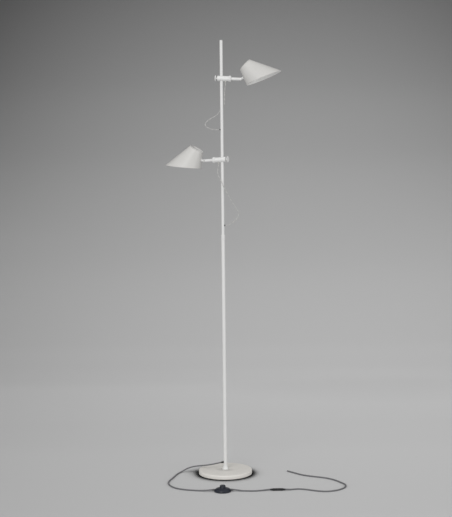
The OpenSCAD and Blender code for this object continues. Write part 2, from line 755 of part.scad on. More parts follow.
module switch_cover() {
    bottom = 0.6;
    hole = button_d / 2 + 0.3;
    inside = dome_points(switch_wall);
    color(dark_plastic) translate(switch_at) difference() {
        rotate_extrude() polygon(concat([[switch_d / 2, bottom]], dome_points(0),
            [[hole, switch_dome_h], [hole, switch_dome_h - switch_wall]],
            [for (k = [len(inside) - 1:-1:0]) inside[k]],
            [[switch_d / 2 - switch_wall, bottom]]));
        translate([0, 0, sleeve_z])
            drill(sleeve_d + 2 * fit_gap, -switch_d, switch_d);
    }
}

module switch_button() {
    r = button_d / 2;
    top = switch_dome_h + button_proud;
    flange = switch_dome_h - switch_wall - face_gap - button_flange_h;
    color(dark_plastic) translate(switch_at) rotate_extrude() polygon([
        [0, top - 2.5], [r - 2.4, top - 2.5], [r - 2.4, flange], [r + 1.2, flange],
        [r + 1.2, flange + button_flange_h], [r, flange + button_flange_h],
        [r, top - 1.2], [r - 0.5, top - 0.5], [r - 1.6, top - 0.1], [0, top]]);
}

// Coil spring between the switch's floor and the button
module switch_spring() {
    bottom = switch_floor_h + spring_wire / 2 + 0.1;
    height = switch_dome_h + button_proud - 2.5 - spring_wire / 2 - 0.1 - bottom;
    turn = 12;
    coil = [for (k = [0:spring_turns * turn])
        [spring_r * cos(360 * k / turn), spring_r * sin(360 * k / turn),
            bottom + height * k / (spring_turns * turn)]];
    color(steel) translate(switch_at) swept_tube(coil, spring_wire, 6);
}

// Terminal blocks under the dome, where the two ends of the cord are joined
module switch_terminals() {
    color(pale_plastic) translate(switch_at) for (side = [0, 1]) mirror([side, 0, 0])
        translate([terminal_x, -terminal_size[1] / 2, switch_floor_h]) cube(terminal_size);
}

module switch_sleeves() {
    start = switch_d / 2 - sleeve_inside;
    color(dark_plastic) translate(switch_at + [0, 0, sleeve_z])
        for (side = [0, 1]) mirror([side, 0, 0]) {
            rod(sleeve_d, start, switch_d / 2 + 1.5);
            translate([switch_d / 2 + 1.5, 0, 0]) rotate([0, 90, 0])
                cylinder(d1 = sleeve_d, d2 = mains_d + 0.6, h = sleeve_end - switch_d / 2 - 1.5);
        }
}

// One half of the inline connector along +X: a tapered nose, then a body with grip rings
module connector_shell() {
    rotate([0, 90, 0])
        cylinder(d1 = mains_d + 0.6, d2 = connector_d - 1.6, h = connector_nose + 0.1);
    difference() {
        rod(connector_d, connector_nose, connector_half - fit_gap, chamfer);
        for (k = [1:3]) translate([connector_nose + k * grip_pitch, 0, 0]) difference() {
            drill(connector_d + over, 0, grip_w);
            drill(connector_d - 2 * grip_depth, -over, grip_w + over);
        }
    }
}

module connector_socket() {
    color(dark_plastic) translate(connector_at) difference() {
        connector_shell();
        drill(pin_d + 2 * fit_gap, connector_half - pin_in_socket - 1, connector_half + over);
    }
}

module connector_plug() {
    color(dark_plastic) translate(connector_at + [2 * connector_half, 0, 0])
        mirror([1, 0, 0]) difference() {
            connector_shell();
            drill(pin_d + 2 * fit_gap, connector_half - pin_len + pin_in_socket - 1,
                connector_half + over);
        }
}

module connector_pin() {
    start = connector_half - pin_in_socket;
    color(steel) translate(connector_at) rod(pin_d, start, start + pin_len, 0.4);
}

echo(mains_cord_mm = route_length(mains_base_route) + route_length(mains_link_route)
    + route_length(mains_tail_route));
echo(upper_cable_mm = route_length(upper_twist_route) + route_length(upper_cable_route));
echo(lower_cable_mm = route_length(lower_twist_route) + route_length(lower_cable_route));

base_pad();
base_weight();
base_cover();
base_washer();
base_bolt();
foot_collar();
foot_plug();
lower_tube();
joint_ferrule();
upper_tube();
top_cap();
riser_leads();
mains_gland();
hole_grommets();
liner(upper);  // upper_liner
at_arm(upper) clamp();  // upper_clamp
at_arm(upper) collar();  // upper_collar
at_arm(upper) thumbscrew();  // upper_thumbscrew
at_arm(upper) friction_washer();  // upper_washer
at_arm(upper) arm();  // upper_arm
at_arm(upper) pivot_screw();  // upper_pivot_screw
at_neck(upper) knuckle();  // upper_knuckle
at_shade(upper) shade();  // upper_shade
at_neck(upper) shade_nut();  // upper_shade_nut
at_shade(upper) holder_bracket();  // upper_bracket
at_shade(upper) lampholder();  // upper_lampholder
at_shade(upper) bulb();  // upper_bulb
at_arm(upper) exit_grommet();  // upper_grommet
cable(upper_twist_route);  // upper_cable_twist
cable(upper_cable_route);  // upper_cable
liner(lower);  // lower_liner
at_arm(lower) clamp();  // lower_clamp
at_arm(lower) collar();  // lower_collar
at_arm(lower) thumbscrew();  // lower_thumbscrew
at_arm(lower) friction_washer();  // lower_washer
at_arm(lower) arm();  // lower_arm
at_arm(lower) pivot_screw();  // lower_pivot_screw
at_neck(lower) knuckle();  // lower_knuckle
at_shade(lower) shade();  // lower_shade
at_neck(lower) shade_nut();  // lower_shade_nut
at_shade(lower) holder_bracket();  // lower_bracket
at_shade(lower) lampholder();  // lower_lampholder
at_shade(lower) bulb();  // lower_bulb
at_arm(lower) exit_grommet();  // lower_grommet
cable(lower_twist_route);  // lower_cable_twist
cable(lower_cable_route);  // lower_cable
mains(mains_base_route);  // mains_cord_base
mains(mains_link_route);  // mains_cord_link
mains(mains_tail_route);  // mains_cord_tail
switch_base();
switch_cover();
switch_button();
switch_spring();
switch_terminals();
switch_sleeves();
connector_socket();
connector_plug();
connector_pin();
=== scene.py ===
"""Finish of a pole floor lamp: soft white lacquered metal, thin cables, a mains cord and a foot switch.

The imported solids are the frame. Most of the turned pieces, the shades, the bulbs and every cord are made
here in full detail and stand for their solids. The rest keep their solids and get a finish."""

import json
import math

import bmesh
import bpy
from mathutils import Matrix, Vector

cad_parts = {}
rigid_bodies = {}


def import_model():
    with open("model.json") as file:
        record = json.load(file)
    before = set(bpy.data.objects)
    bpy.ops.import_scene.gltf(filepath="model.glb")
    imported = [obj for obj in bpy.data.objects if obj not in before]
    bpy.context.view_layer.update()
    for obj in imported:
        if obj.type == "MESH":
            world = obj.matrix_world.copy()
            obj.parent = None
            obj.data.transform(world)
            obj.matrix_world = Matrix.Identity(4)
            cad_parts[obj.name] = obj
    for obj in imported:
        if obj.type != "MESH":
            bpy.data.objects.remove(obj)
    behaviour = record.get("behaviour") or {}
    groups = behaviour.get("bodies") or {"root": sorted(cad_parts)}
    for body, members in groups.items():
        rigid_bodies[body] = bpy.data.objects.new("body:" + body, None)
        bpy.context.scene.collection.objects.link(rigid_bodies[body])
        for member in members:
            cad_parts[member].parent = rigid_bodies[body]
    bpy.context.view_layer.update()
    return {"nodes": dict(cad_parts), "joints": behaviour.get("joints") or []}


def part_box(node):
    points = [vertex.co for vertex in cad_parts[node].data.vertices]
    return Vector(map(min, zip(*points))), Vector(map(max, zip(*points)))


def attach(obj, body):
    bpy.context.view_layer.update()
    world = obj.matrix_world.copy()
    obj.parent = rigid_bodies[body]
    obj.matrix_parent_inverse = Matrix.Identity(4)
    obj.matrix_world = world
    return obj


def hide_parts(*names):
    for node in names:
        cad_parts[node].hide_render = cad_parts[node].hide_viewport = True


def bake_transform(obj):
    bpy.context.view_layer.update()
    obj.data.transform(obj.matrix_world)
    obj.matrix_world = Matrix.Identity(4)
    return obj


bl_info = {
    "name": "Pole floor lamp",
    "version": (1, 0, 0),
    "blender": (4, 5, 0),
    "location": "View3D > Sidebar > Lamp",
    "description": "Builds the finish of a floor lamp with two heads on a pole",
    "category": "Object",
}

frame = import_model()
JOINTS = {j["name"]: j for j in frame["joints"]}
MM = 0.001
HEADS = ("upper", "lower")


# ---------------------------------------------------------------- sizes and colours


def number(label, text, value, **limits):
    """A property of a group below. The three after it are its kinds."""
    return bpy.props.FloatProperty(name=label, description=text, default=value, **limits)


def length(label, text, value, **limits):
    return number(label, text, value, unit="LENGTH", **limits)


def angle(label, text, degrees, **limits):
    return number(label, text, math.radians(degrees), subtype="ANGLE", **limits)


def colour(label, text, value):
    return bpy.props.FloatVectorProperty(name=label, description=text, default=value, subtype="COLOR", size=3,
                                         min=0, max=1)


class LampSizes(bpy.types.PropertyGroup):
    """Sizes of the finished pieces"""

    base_radius: length("Base radius", "Outer radius of the base cover", 0.099, min=0.05, max=0.2)
    base_top: length("Base top", "Height of the base cover's top face", 0.016, min=0.008, max=0.04)
    base_edge: length("Base edge", "Rounding of the base cover's top edge", 0.003, min=0.0005, max=0.006)
    ring_radius: length("Shade ring", "Outer radius of the open ring on top of a shade", 0.0255,
                        min=0.01, max=0.05)
    half_angle: angle("Shade angle", "Half of the shade's cone angle", 23.5, min=0.1, max=1.0)
    short_wall: length("Short wall", "Length of the shade's wall beside the arm", 0.061, min=0.03, max=0.1)
    long_wall: length("Long wall", "Length of the shade's wall away from the arm", 0.1225, min=0.06, max=0.2)
    shade_wall: length("Shade sheet", "Sheet thickness of the shade", 0.0012, min=0.0005, max=0.003)
    neck_reach: length("Neck", "From the shade's pivot to its wall", 0.0125, min=0.005, max=0.03)
    bead_radius: length("Ring bead", "Radius of the rolled bead round the open ring", 0.0011,
                        min=0.0006, max=0.002)
    upper_aim: angle("Upper aim", "Angle of the upper shade's axis below the horizontal", 43.5,
                     min=0.0, max=1.57)
    lower_aim: angle("Lower aim", "Angle of the lower shade's axis below the horizontal", 59.5,
                     min=0.0, max=1.57)
    mains_diameter: length("Mains cord", "Diameter of the mains cord", 0.005, min=0.003, max=0.008)
    cable_diameter: length("Thin cable", "Diameter of the heads' thin cables", 0.0025, min=0.001, max=0.004)


class LampColours(bpy.types.PropertyGroup):
    """Colours of the finishes, as linear values"""

    # The shades' lacquer is set darker than the pole's: partly the shades' own greyer tone, partly painted shade on
    # the shades' faces
    lacquer: colour("Lacquer", "Soft white lacquer on the shades", (0.60, 0.592, 0.573))
    pole: colour("Pole", "Soft white lacquer on the pole, the clamps and the arms", (0.75, 0.75, 0.742))
    base: colour("Base", "Soft white lacquer on the base", (0.76, 0.736, 0.695))
    # The reflector white is set much lighter than the shades' outside: partly its own white paint, partly painted
    # light inside the shades
    reflector: colour("Reflector", "White paint inside the shades", (0.90, 0.895, 0.88))
    mains: colour("Mains cord", "Grey sheath of the mains cord", (0.145, 0.145, 0.153))
    cable: colour("Thin cable", "Clear pale sheath of the thin cables", (0.40, 0.40, 0.39))
    switch: colour("Foot switch", "Blue black plastic of the foot switch", (0.014, 0.017, 0.028))
    plastic: colour("Black plastic", "Black plastic of the gland and the connector", (0.010, 0.010, 0.012))
    backdrop: colour("Backdrop", "Colour of the paper behind and below the lamp, where it is palest",
                     (0.735, 0.735, 0.735))


class LampStage(bpy.types.PropertyGroup):
    """Camera and lights"""

    camera_distance: length("Camera distance", "From the camera to the pole", 4.604, min=1)
    camera_height: length("Camera height", "Height of the camera", 1.208, min=0.1)
    camera_side: length("Camera side", "How far the camera stands to the right", 0.010)
    camera_pitch: angle("Camera pitch", "Downward tilt of the camera", 5.0)
    camera_roll: angle("Camera roll", "Turn of the camera about its view", 0.59)
    camera_lens: number("Lens", "Focal length for a sensor 36 mm wide", 100.035, min=10)
    key_power: number("Key light", "Power of the large soft light in front", 94.0, min=0, unit="POWER")
    fill_power: number("Fill light", "Power of the soft light on the right", 22.0, min=0, unit="POWER")
    world_strength: number("Room light", "Strength of the even light of the room", 0.68, min=0)


# ---------------------------------------------------------------- routes of the cords, in millimetres

# The middle of the mains cord where it lies on the floor. Points without a height lie there.
LYING = 2.6
UPPER_TWIST = [
    (14.4, -2, 1447.7), (14.4, -2, 1441), (14, -2, 1434), (12.6, -2, 1426), (11.6, -2, 1418),
    (11.2, -2, 1410)]
UPPER_CABLE = [
    (11.2, -2, 1409.7), (11, -1.5, 1401), (10.8, -0.5, 1391), (10.6, 1.5, 1381), (9.8, 5, 1371),
    (6.5, 9, 1362), (0.5, 11.5, 1354), (-7, 11.5, 1344), (-14, 10, 1335), (-22, 8, 1328), (-29, 5.5, 1323.5),
    (-37, 3, 1319.5), (-45, 0.5, 1314.5), (-53, -1.5, 1308.5), (-59, -3, 1302), (-61, -4, 1295),
    (-57.5, -4, 1288.5), (-50.5, -3.5, 1284), (-42, -2.5, 1280.5), (-33, -1.5, 1278), (-24, -0.5, 1277),
    (-16, 0, 1277), (-9, 0, 1277)]
LOWER_TWIST = [
    (-13.7, 5, 1153.7), (-13.7, 5, 1147), (-14.5, 4.5, 1140), (-16.2, 3.5, 1133), (-17.6, 1.5, 1126)]
LOWER_CABLE = [
    (-17.7, 1.3, 1125.7), (-17, -1.5, 1118), (-15, -5, 1111), (-11.5, -8, 1103), (-7.5, -10.5, 1094),
    (-3, -11.5, 1085), (1, -12, 1076), (6, -11.5, 1065), (12, -11, 1054), (18.5, -10, 1042), (25, -9, 1029),
    (32, -8, 1016.5), (40, -6.5, 1004), (48, -5, 992.5), (54.5, -4, 982), (57.5, -3, 972), (56.5, -2, 962),
    (51.5, -1.5, 952.5), (44, -1, 944), (35, -0.5, 937), (26, 0, 930.8), (18.5, 0, 927.6), (13, 0, 927),
    (9, 0, 927)]
MAINS_BASE = [
    (-16.5, 0, 41.2), (-20.5, 0, 40.46), (-30, 0.3, 38.5), (-42, 1.5, 35.8), (-54, 3.5, 33), (-70, 9, 29.4),
    (-84, 18, 25.6), (-97, 26, 22.8), (-112, 31, 20), (-128, 33, 16.4), (-143, 32, 11.6), (-157, 24, 5.8),
    (-168, 11, 2.8), (-177, -8), (-184, -31), (-190, -56), (-197, -81), (-204, -107), (-207, -133),
    (-204, -158), (-196, -181), (-183, -202), (-165, -219), (-142, -231), (-116, -239), (-90, -245, 2.8),
    (-68, -249, 4.4), (-53.2, -250, 6), (-48.2, -250, 6)]
MAINS_LINK = [
    (28.2, -250, 6), (33.2, -250, 6), (45, -250.6, 4.4), (58, -252, 2.8), (76, -254), (96, -255.5),
    (114, -254), (130, -250, 2.7), (143, -247, 3.6), (153, -246, 4.4), (158, -246, 4.4)]
MAINS_TAIL = [
    (212, -246, 4.4), (217, -246, 4.4), (228, -243.5, 3.2), (240, -239), (257, -236), (274, -239),
    (292, -247), (312, -258), (334, -267), (358, -271), (382, -264), (404, -249), (421, -228), (430, -203),
    (428, -178), (417, -155), (404, -131), (388, -109), (367, -91), (343, -77), (318, -65), (295, -52),
    (275, -35), (258, -15), (245, 0), (232, 15)]


def smooth_route(points, per_span):
    """The route in metres, as a smooth curve through its points."""
    p = [Vector((*q, LYING)[:3]) * MM for q in points]
    out = []
    for i in range(len(p) - 1):
        a, b, c, d = p[max(i - 1, 0)], p[i], p[i + 1], p[min(i + 2, len(p) - 1)]
        for k in range(per_span):
            t = k / per_span
            out.append(0.5 * (2 * b + (c - a) * t + (2 * a - 5 * b + 4 * c - d) * t * t
                              + (3 * b - a - 3 * c + d) * t ** 3))
    return out + [p[-1]]


def route_length(points):
    return sum((b - a).length for a, b in zip(points, points[1:]))


# ---------------------------------------------------------------- meshes


# For profiles: a radius and a distance in millimetres that count as none, and an angle that needs no curve
ON_THE_AXIS, SAME_POINT, NEARLY_STRAIGHT = 1e-4, 1e-3, math.radians(172)


def mesh_object(name, mesh):
    """A new object for a mesh, with smooth faces."""
    for poly in mesh.polygons:
        poly.use_smooth = True
    obj = bpy.data.objects.new(name, mesh)
    bpy.context.scene.collection.objects.link(obj)
    return obj


def add_mesh(name, verts, faces, material=None, uv=()):
    """A new mesh object with smooth faces, a material and a UV per vertex."""
    mesh = bpy.data.meshes.new(name)
    mesh.from_pydata([tuple(v) for v in verts], [], faces)
    mesh.update()
    if material:
        mesh.materials.append(material)
    if uv:
        layer = mesh.uv_layers.new(name="UVMap")
        for loop in mesh.loops:
            layer.data[loop.index].uv = uv[loop.vertex_index]
    return mesh_object(name, mesh)


def outward(obj):
    """Merges doubles and points every face outwards."""
    bm = bmesh.new()
    bm.from_mesh(obj.data)
    bmesh.ops.remove_doubles(bm, verts=bm.verts, dist=1e-6)
    bmesh.ops.recalc_face_normals(bm, faces=bm.faces)
    if bm.calc_volume(signed=True) < 0:
        bmesh.ops.reverse_faces(bm, faces=bm.faces)
    bm.to_mesh(obj.data)
    bm.free()
    return obj


def arc(middle_r, middle_z, radius, start, end, steps):
    """Points along a part of a circle, from one angle to another."""
    return [(middle_r + radius * math.cos(a), middle_z + radius * math.sin(a))
            for a in (start + (end - start) * k / steps for k in range(steps + 1))]


def bent(a, corner, b, steps):
    """Points from a to b along the curve that a corner pulls out."""
    return [tuple((1 - t) ** 2 * a + 2 * t * (1 - t) * corner + t * t * b)
            for t in (k / steps for k in range(steps + 1))]


def again(count, step, ring):
    """The points of a ring, a number of times along z."""
    return [(r, z + step * k) for k in range(count) for r, z in ring]


def rounded(profile, radius, steps):
    """The profile with each sharp corner between its ends replaced by a curve of about that radius."""
    out = [profile[0]]
    for before, here, after in zip(profile, profile[1:], profile[2:]):
        here = Vector(here)
        u, v = Vector(before) - here, Vector(after) - here
        cut = min(radius, 0.45 * u.length, 0.45 * v.length)
        if cut < SAME_POINT or u.angle(v) > NEARLY_STRAIGHT:
            out.append(tuple(here))
        else:
            out += bent(here + u.normalized() * cut, here, here + v.normalized() * cut, steps)
    return out + [profile[-1]]


def turned(name, profile, place, material, around=96):
    """A piece turned about its own Z axis from an (r, z) profile in millimetres, then put in its place."""
    verts, faces, rings = [], [], []
    for r, z in profile:
        points = around if r > ON_THE_AXIS else 1
        rings.append(list(range(len(verts), len(verts) + points)))
        verts += [place @ (MM * Vector((r * math.cos(a), r * math.sin(a), z)))
                  for a in (2 * math.pi * k / points for k in range(points))]
    pairs = list(zip(rings, rings[1:]))
    if len(rings[0]) > 1 and len(rings[-1]) > 1:
        pairs.append((rings[-1], rings[0]))
    for low, high in pairs:
        for k in range(around):
            j = (k + 1) % around
            if len(low) == 1 < len(high):
                faces.append((low[0], high[j], high[k]))
            elif len(high) == 1 < len(low):
                faces.append((low[k], low[j], high[0]))
            elif len(low) > 1:
                faces.append((low[k], low[j], high[j], high[k]))
    return outward(add_mesh(name, verts, faces, material))


def tube(name, points, diameter, material, sides):
    """A round tube along the points, with flat ends and a UV that runs along it in metres."""
    last = len(points) - 1
    heads = [(points[min(i + 1, last)] - points[max(i - 1, 0)]).normalized() for i in range(last + 1)]
    side = heads[0].orthogonal().normalized()
    verts, uv, rings, along = [], [], [], 0.0
    before = points[0]
    for p, h in zip(points, heads):
        side = (side - side.dot(h) * h).normalized()
        up = h.cross(side)
        along += (p - before).length
        before = p
        rings.append(len(verts))
        for k in range(sides):
            a = 2 * math.pi * k / sides
            verts.append(p + diameter / 2 * (math.cos(a) * side + math.sin(a) * up))
            uv.append((along, k / sides))
    faces = [(a + k, a + (k + 1) % sides, b + (k + 1) % sides, b + k)
             for a, b in zip(rings, rings[1:]) for k in range(sides)]
    faces.append(tuple(reversed(range(rings[0], rings[0] + sides))))
    faces.append(tuple(range(rings[-1], rings[-1] + sides)))
    return outward(add_mesh(name, verts, faces, material, uv))


def settle(obj, body, slot, *nodes):
    """Lets a finished piece stand for its solids and ride on its body, if it has one. Its slot is not used."""
    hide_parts(*nodes)
    if body:
        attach(obj, body)


def join(name, parts):
    """Joins finished mesh parts of one body into one piece."""
    for o in bpy.context.view_layer.objects:
        o.select_set(False)
    for o in parts:
        o.select_set(True)
    bpy.context.view_layer.objects.active = parts[0]
    bpy.ops.object.join()
    parts[0].name = name
    return parts[0]


# ---------------------------------------------------------------- frames of the heads


def arm_place(head):
    """The origin on the pole's axis and +X along the head's arm."""
    x = Vector(JOINTS[head + "_arm_roll"]["axis"]).normalized()
    y = Vector(JOINTS[head + "_shade_tilt"]["axis"]).normalized()
    z = x.cross(y)
    origin = Vector(JOINTS[head + "_head_swivel"]["pos_m"])
    return Matrix.Translation(origin) @ Matrix((x, y, z)).transposed().to_4x4()


def shade_place(head):
    """The origin in the middle of the shade's ring and -Z towards its opening."""
    s = bpy.context.scene.lamp_sizes
    aim = s.upper_aim if head == "upper" else s.lower_aim
    pivot = Vector(JOINTS[head + "_shade_tilt"]["pos_m"])
    x = Vector(JOINTS[head + "_arm_roll"]["axis"])
    droop = math.asin(-x.z)
    turn = arm_place(head).to_3x3().to_4x4() @ Matrix.Rotation(aim - math.pi / 2 - droop, 4, "Y")
    half = s.half_angle
    mount = Vector((-s.ring_radius - s.short_wall / 2 * math.sin(half), 0, -s.short_wall / 2 * math.cos(half)))
    own_pivot = mount + s.neck_reach * Vector((-math.cos(half), 0, math.sin(half)))
    return Matrix.Translation(pivot) @ turn @ Matrix.Translation(-own_pivot)


def shift(x, y, z):
    """A move by millimetres."""
    return Matrix.Translation(MM * Vector((x, y, z)))


def facing(direction, axis="Z"):
    """A turn that points an axis along a direction."""
    return direction.to_track_quat(axis, "Y").to_matrix().to_4x4()


def along_x(place, start=0, flip=False):
    """A place whose +Z lies along the given place's +X, or its -X, from a start in millimetres."""
    return place @ shift(start, 0, 0) @ Matrix.Rotation(-math.pi / 2 if flip else math.pi / 2, 4, "Y")


# ---------------------------------------------------------------- node trees


def feed(node, inputs):
    """Fills a node's inputs. Each is a value, or a socket or a Sum to link from."""
    for key, value in dict(inputs).items():
        if isinstance(value, Sum):
            value = value.value
        if isinstance(value, bpy.types.NodeSocket):
            node.id_data.links.new(value, node.inputs[key])
        else:
            node.inputs[key].default_value = value


def put_node(tree, kind, inputs=(), **settings):
    """A new node with its settings and inputs."""
    node = tree.nodes.new(kind)
    for key, value in settings.items():
        setattr(node, key, value)
    feed(node, inputs)
    return node


class Sum:
    """A number in a node tree. Each step of reckoning with it puts a math node into the tree."""

    def __init__(self, tree, value):
        self.tree, self.value = tree, value

    def step(self, operation, *others):
        node = put_node(self.tree, "ShaderNodeMath", enumerate((self, *others)), operation=operation)
        return Sum(self.tree, node.outputs[0])

    def __add__(self, other):
        return self.step("ADD", other)

    def __sub__(self, other):
        return self.step("SUBTRACT", other)

    def __mul__(self, other):
        return self.step("MULTIPLY", other)

    def __truediv__(self, other):
        return self.step("DIVIDE", other)

    def __mod__(self, other):
        return self.step("MODULO", other)

    def share(self):
        """The number held between 0 and 1."""
        return self.step("MAXIMUM", 0.0).step("MINIMUM", 1.0)

    def spread(self, low, high, start=0.0, end=1.0, ease="LINEAR"):
        """The number carried over from the range low to high to the range start to end, and held there."""
        node = put_node(self.tree, "ShaderNodeMapRange", {"Value": self, "From Min": low, "From Max": high,
                                                          "To Min": start, "To Max": end},
                        interpolation_type=ease)
        return Sum(self.tree, node.outputs["Result"])

    def eased(self, low, high):
        """The number eased from 0 at low to 1 at high."""
        return self.spread(low, high, ease="SMOOTHSTEP")


def combined(tree, x, y, z):
    return put_node(tree, "ShaderNodeCombineXYZ", {"X": x, "Y": y, "Z": z}).outputs["Vector"]


def split(tree, vector):
    """The three numbers of a vector."""
    return [Sum(tree, part) for part in put_node(tree, "ShaderNodeSeparateXYZ", {0: vector}).outputs]


def node_group(name):
    """A shape or a group by its name, made at its first use."""
    return bpy.data.node_groups.get(name) or GROUPS[name](name)


# ---------------------------------------------------------------- repeated details by geometry nodes


def shape_tree(name, inputs):
    """A new geometry node tree with its named inputs, and their sockets inside the tree."""
    tree = bpy.data.node_groups.new(name, "GeometryNodeTree")
    tree.interface.new_socket("Geometry", in_out="INPUT", socket_type="NodeSocketGeometry")
    kinds = {float: "Float", int: "Int", type(None): "Material"}
    for label, value in inputs.items():
        socket = tree.interface.new_socket(label, in_out="INPUT", socket_type="NodeSocket" + kinds[type(value)])
        if value is not None:
            socket.default_value = value
    tree.interface.new_socket("Geometry", in_out="OUTPUT", socket_type="NodeSocketGeometry")
    return tree, tree.nodes.new("NodeGroupInput").outputs


def end_shape(tree, geometry, *coats):
    """Ends a shape's tree: instances made real, then a material for each (material, faces) coat."""
    geometry = put_node(tree, "GeometryNodeRealizeInstances", {"Geometry": geometry}).outputs["Geometry"]
    for material, faces in coats:
        geometry = put_node(tree, "GeometryNodeSetMaterial", {"Geometry": geometry, "Material": material,
                                                              "Selection": faces}).outputs["Geometry"]
    feed(tree.nodes.new("NodeGroupOutput"), {"Geometry": geometry})
    return tree


def made_shape(name, shape, place, values):
    """The result of a shape's tree with its inputs set, as a plain mesh object in its place."""
    carrier = add_mesh(name + "_carrier", [(0, 0, 0)], [])
    modifier = carrier.modifiers.new("Shape", "NODES")
    modifier.node_group = tree = node_group(shape)
    for item in tree.interface.items_tree:
        if item.item_type == "SOCKET" and item.in_out == "INPUT" and item.name in values:
            modifier[item.identifier] = values[item.name]
    bpy.context.view_layer.update()
    mesh = bpy.data.meshes.new_from_object(carrier.evaluated_get(bpy.context.evaluated_depsgraph_get()))
    bpy.data.objects.remove(carrier)
    for slot in reversed(range(len(mesh.materials))):
        if mesh.materials[slot] is None:
            mesh.materials.pop(index=slot)
    mesh.transform(place)
    mesh.name = name
    return outward(mesh_object(name, mesh))


def rib_tree(name):
    """Small rounded ribs side by side on a ring round Z."""
    tree, given = shape_tree(name, {"Radius": 0.01, "Count": 60, "Width": 0.0005, "Depth": 0.0006,
                                    "Height": 0.003, "Material": None})
    circle = put_node(tree, "GeometryNodeMeshCircle", {"Vertices": given["Count"], "Radius": given["Radius"]})
    ball = put_node(tree, "GeometryNodeMeshUVSphere", {"Segments": 8, "Rings": 6, "Radius": 0.5})
    rib = put_node(tree, "GeometryNodeTransform",
                   {"Geometry": ball.outputs["Mesh"],
                    "Scale": combined(tree, given["Depth"], given["Width"], given["Height"])})
    index = Sum(tree, tree.nodes.new("GeometryNodeInputIndex").outputs["Index"])
    ribs = put_node(tree, "GeometryNodeInstanceOnPoints",
                    {"Points": circle.outputs["Mesh"], "Instance": rib.outputs["Geometry"],
                     "Rotation": combined(tree, 0.0, 0.0, index / given["Count"] * (2 * math.pi))})
    return end_shape(tree, ribs.outputs["Instances"], (given["Material"], True))


def ring_of_ribs(name, place, z, radius, count, size, material):
    """Ribs of a width, depth and height, side by side round a turned piece at height z, in millimetres."""
    values = {"Radius": radius * MM, "Count": count, "Material": material}
    values.update(zip(("Width", "Depth", "Height"), (part * MM for part in size)))
    return made_shape(name, "Ring of ribs", place @ shift(0, 0, z), values)


def spring_tree(name):
    """A coil of round wire that rises round Z from its lower end."""
    tree, given = shape_tree(name, {"Radius": 0.0055, "Height": 0.016, "Turns": 6.0, "Wire": 0.001,
                                    "Material": None})
    coil = put_node(tree, "GeometryNodeCurveSpiral",
                    {"Resolution": 32, "Rotations": given["Turns"], "Start Radius": given["Radius"],
                     "End Radius": given["Radius"], "Height": given["Height"]}).outputs["Curve"]
    ring = put_node(tree, "GeometryNodeCurvePrimitiveCircle",
                    {"Resolution": 10, "Radius": Sum(tree, given["Wire"]) / 2}).outputs["Curve"]
    wire = put_node(tree, "GeometryNodeCurveToMesh", {"Curve": coil, "Profile Curve": ring, "Fill Caps": True})
    return end_shape(tree, wire.outputs["Mesh"], (given["Material"], True))


def shell_tree(name):
    """The wall of a cone round Z, open at both ends, with a bead at its ring and cut obliquely at its mouth.

    It starts as a flat grid. One way runs round the cone. The other runs once round the wall's section: down
    its outside, over the lip, up its inside and round the bead."""
    numbers = {"Ring Radius": 0.0255, "Short Wall": 0.061, "Long Wall": 0.1225, "Sheet": 0.0012,
               "Bead": 0.0011, "Rows": 30, "Around": 192, "Half Angle": 0.41}
    tree, given = shape_tree(name, {**numbers, "Material": None, "Inner Material": None})
    ring, short, long, sheet, bead, rows, around, half = (Sum(tree, given[label]) for label in numbers)
    sine, cosine = half.step("SINE"), half.step("COSINE")
    lip_steps, bead_steps = 6, 12
    count = rows * 2 + (lip_steps + bead_steps + 2)
    grid = put_node(tree, "GeometryNodeMeshGrid", {"Vertices X": around + 1, "Vertices Y": count + 1})
    index = Sum(tree, tree.nodes.new("GeometryNodeInputIndex").outputs["Index"])
    turn = (index / (count + 1)).step("FLOOR") / around * (2 * math.pi)
    east, north = turn.step("COSINE"), turn.step("SINE")
    point = index % (count + 1) % count

    # the wall's length at this angle, down to the oblique cut
    short_x, short_z = (ring + short * sine) * -1, short * cosine * -1
    rise = (short_z + long * cosine) * -1 / (ring + long * sine - short_x)
    cut = (short_z + (ring * east - short_x) * rise) / (rise * east * sine / cosine + 1)
    reach = cut * -1 / cosine

    # along the wall, and out of its outer face
    top = bead * 1.3
    lip = ((point - rows) / lip_steps).share() * math.pi
    along = (point / rows).share() - ((point - rows - lip_steps) / rows).share()
    wall_d = top + (reach - sheet / 2 - top) * along + sheet / 2 * lip.step("SINE")
    wall_w = sheet / 2 * (lip.step("COSINE") - 1)
    roll = (point - rows * 2 - (lip_steps + 1)) * (-1.44 * math.pi / bead_steps) - 0.28 * math.pi
    bead_d, bead_w = bead * (roll.step("COSINE") + 1), bead * roll.step("SINE") * -1 - sheet / 2
    on_bead = (point - rows * 2).step("GREATER_THAN", lip_steps + 0.5)
    d, w = wall_d + (bead_d - wall_d) * on_bead, wall_w + (bead_w - wall_w) * on_bead
    radius = ring + d * sine + w * cosine
    spot = combined(tree, radius * east, radius * north, w * sine - d * cosine)
    placed = put_node(tree, "GeometryNodeSetPosition", {"Geometry": grid.outputs["Mesh"], "Position": spot})
    closed = put_node(tree, "GeometryNodeMergeByDistance", {"Geometry": placed.outputs["Geometry"],
                                                            "Distance": 1e-6})
    face = index % count
    inside = ((face - rows).step("GREATER_THAN", lip_steps - 1.5)
              * (face - rows * 2).step("LESS_THAN", lip_steps + 0.5))
    return end_shape(tree, closed.outputs["Geometry"], (given["Material"], True),
                     (given["Inner Material"], inside))


# ---------------------------------------------------------------- finishes


def group_tree(name, inputs, outputs):
    """A new shader node group with named numbers in and out, its inner sockets and its output node."""
    tree = bpy.data.node_groups.new(name, "ShaderNodeTree")
    for label, value in inputs.items():
        tree.interface.new_socket(label, in_out="INPUT", socket_type="NodeSocketFloat").default_value = value
    for label in outputs:
        tree.interface.new_socket(label, in_out="OUTPUT", socket_type="NodeSocketFloat")
    return tree, tree.nodes.new("NodeGroupInput").outputs, tree.nodes.new("NodeGroupOutput")


def own_place(tree):
    """Where a point lies on its object."""
    return put_node(tree, "ShaderNodeTexCoord").outputs["Object"]


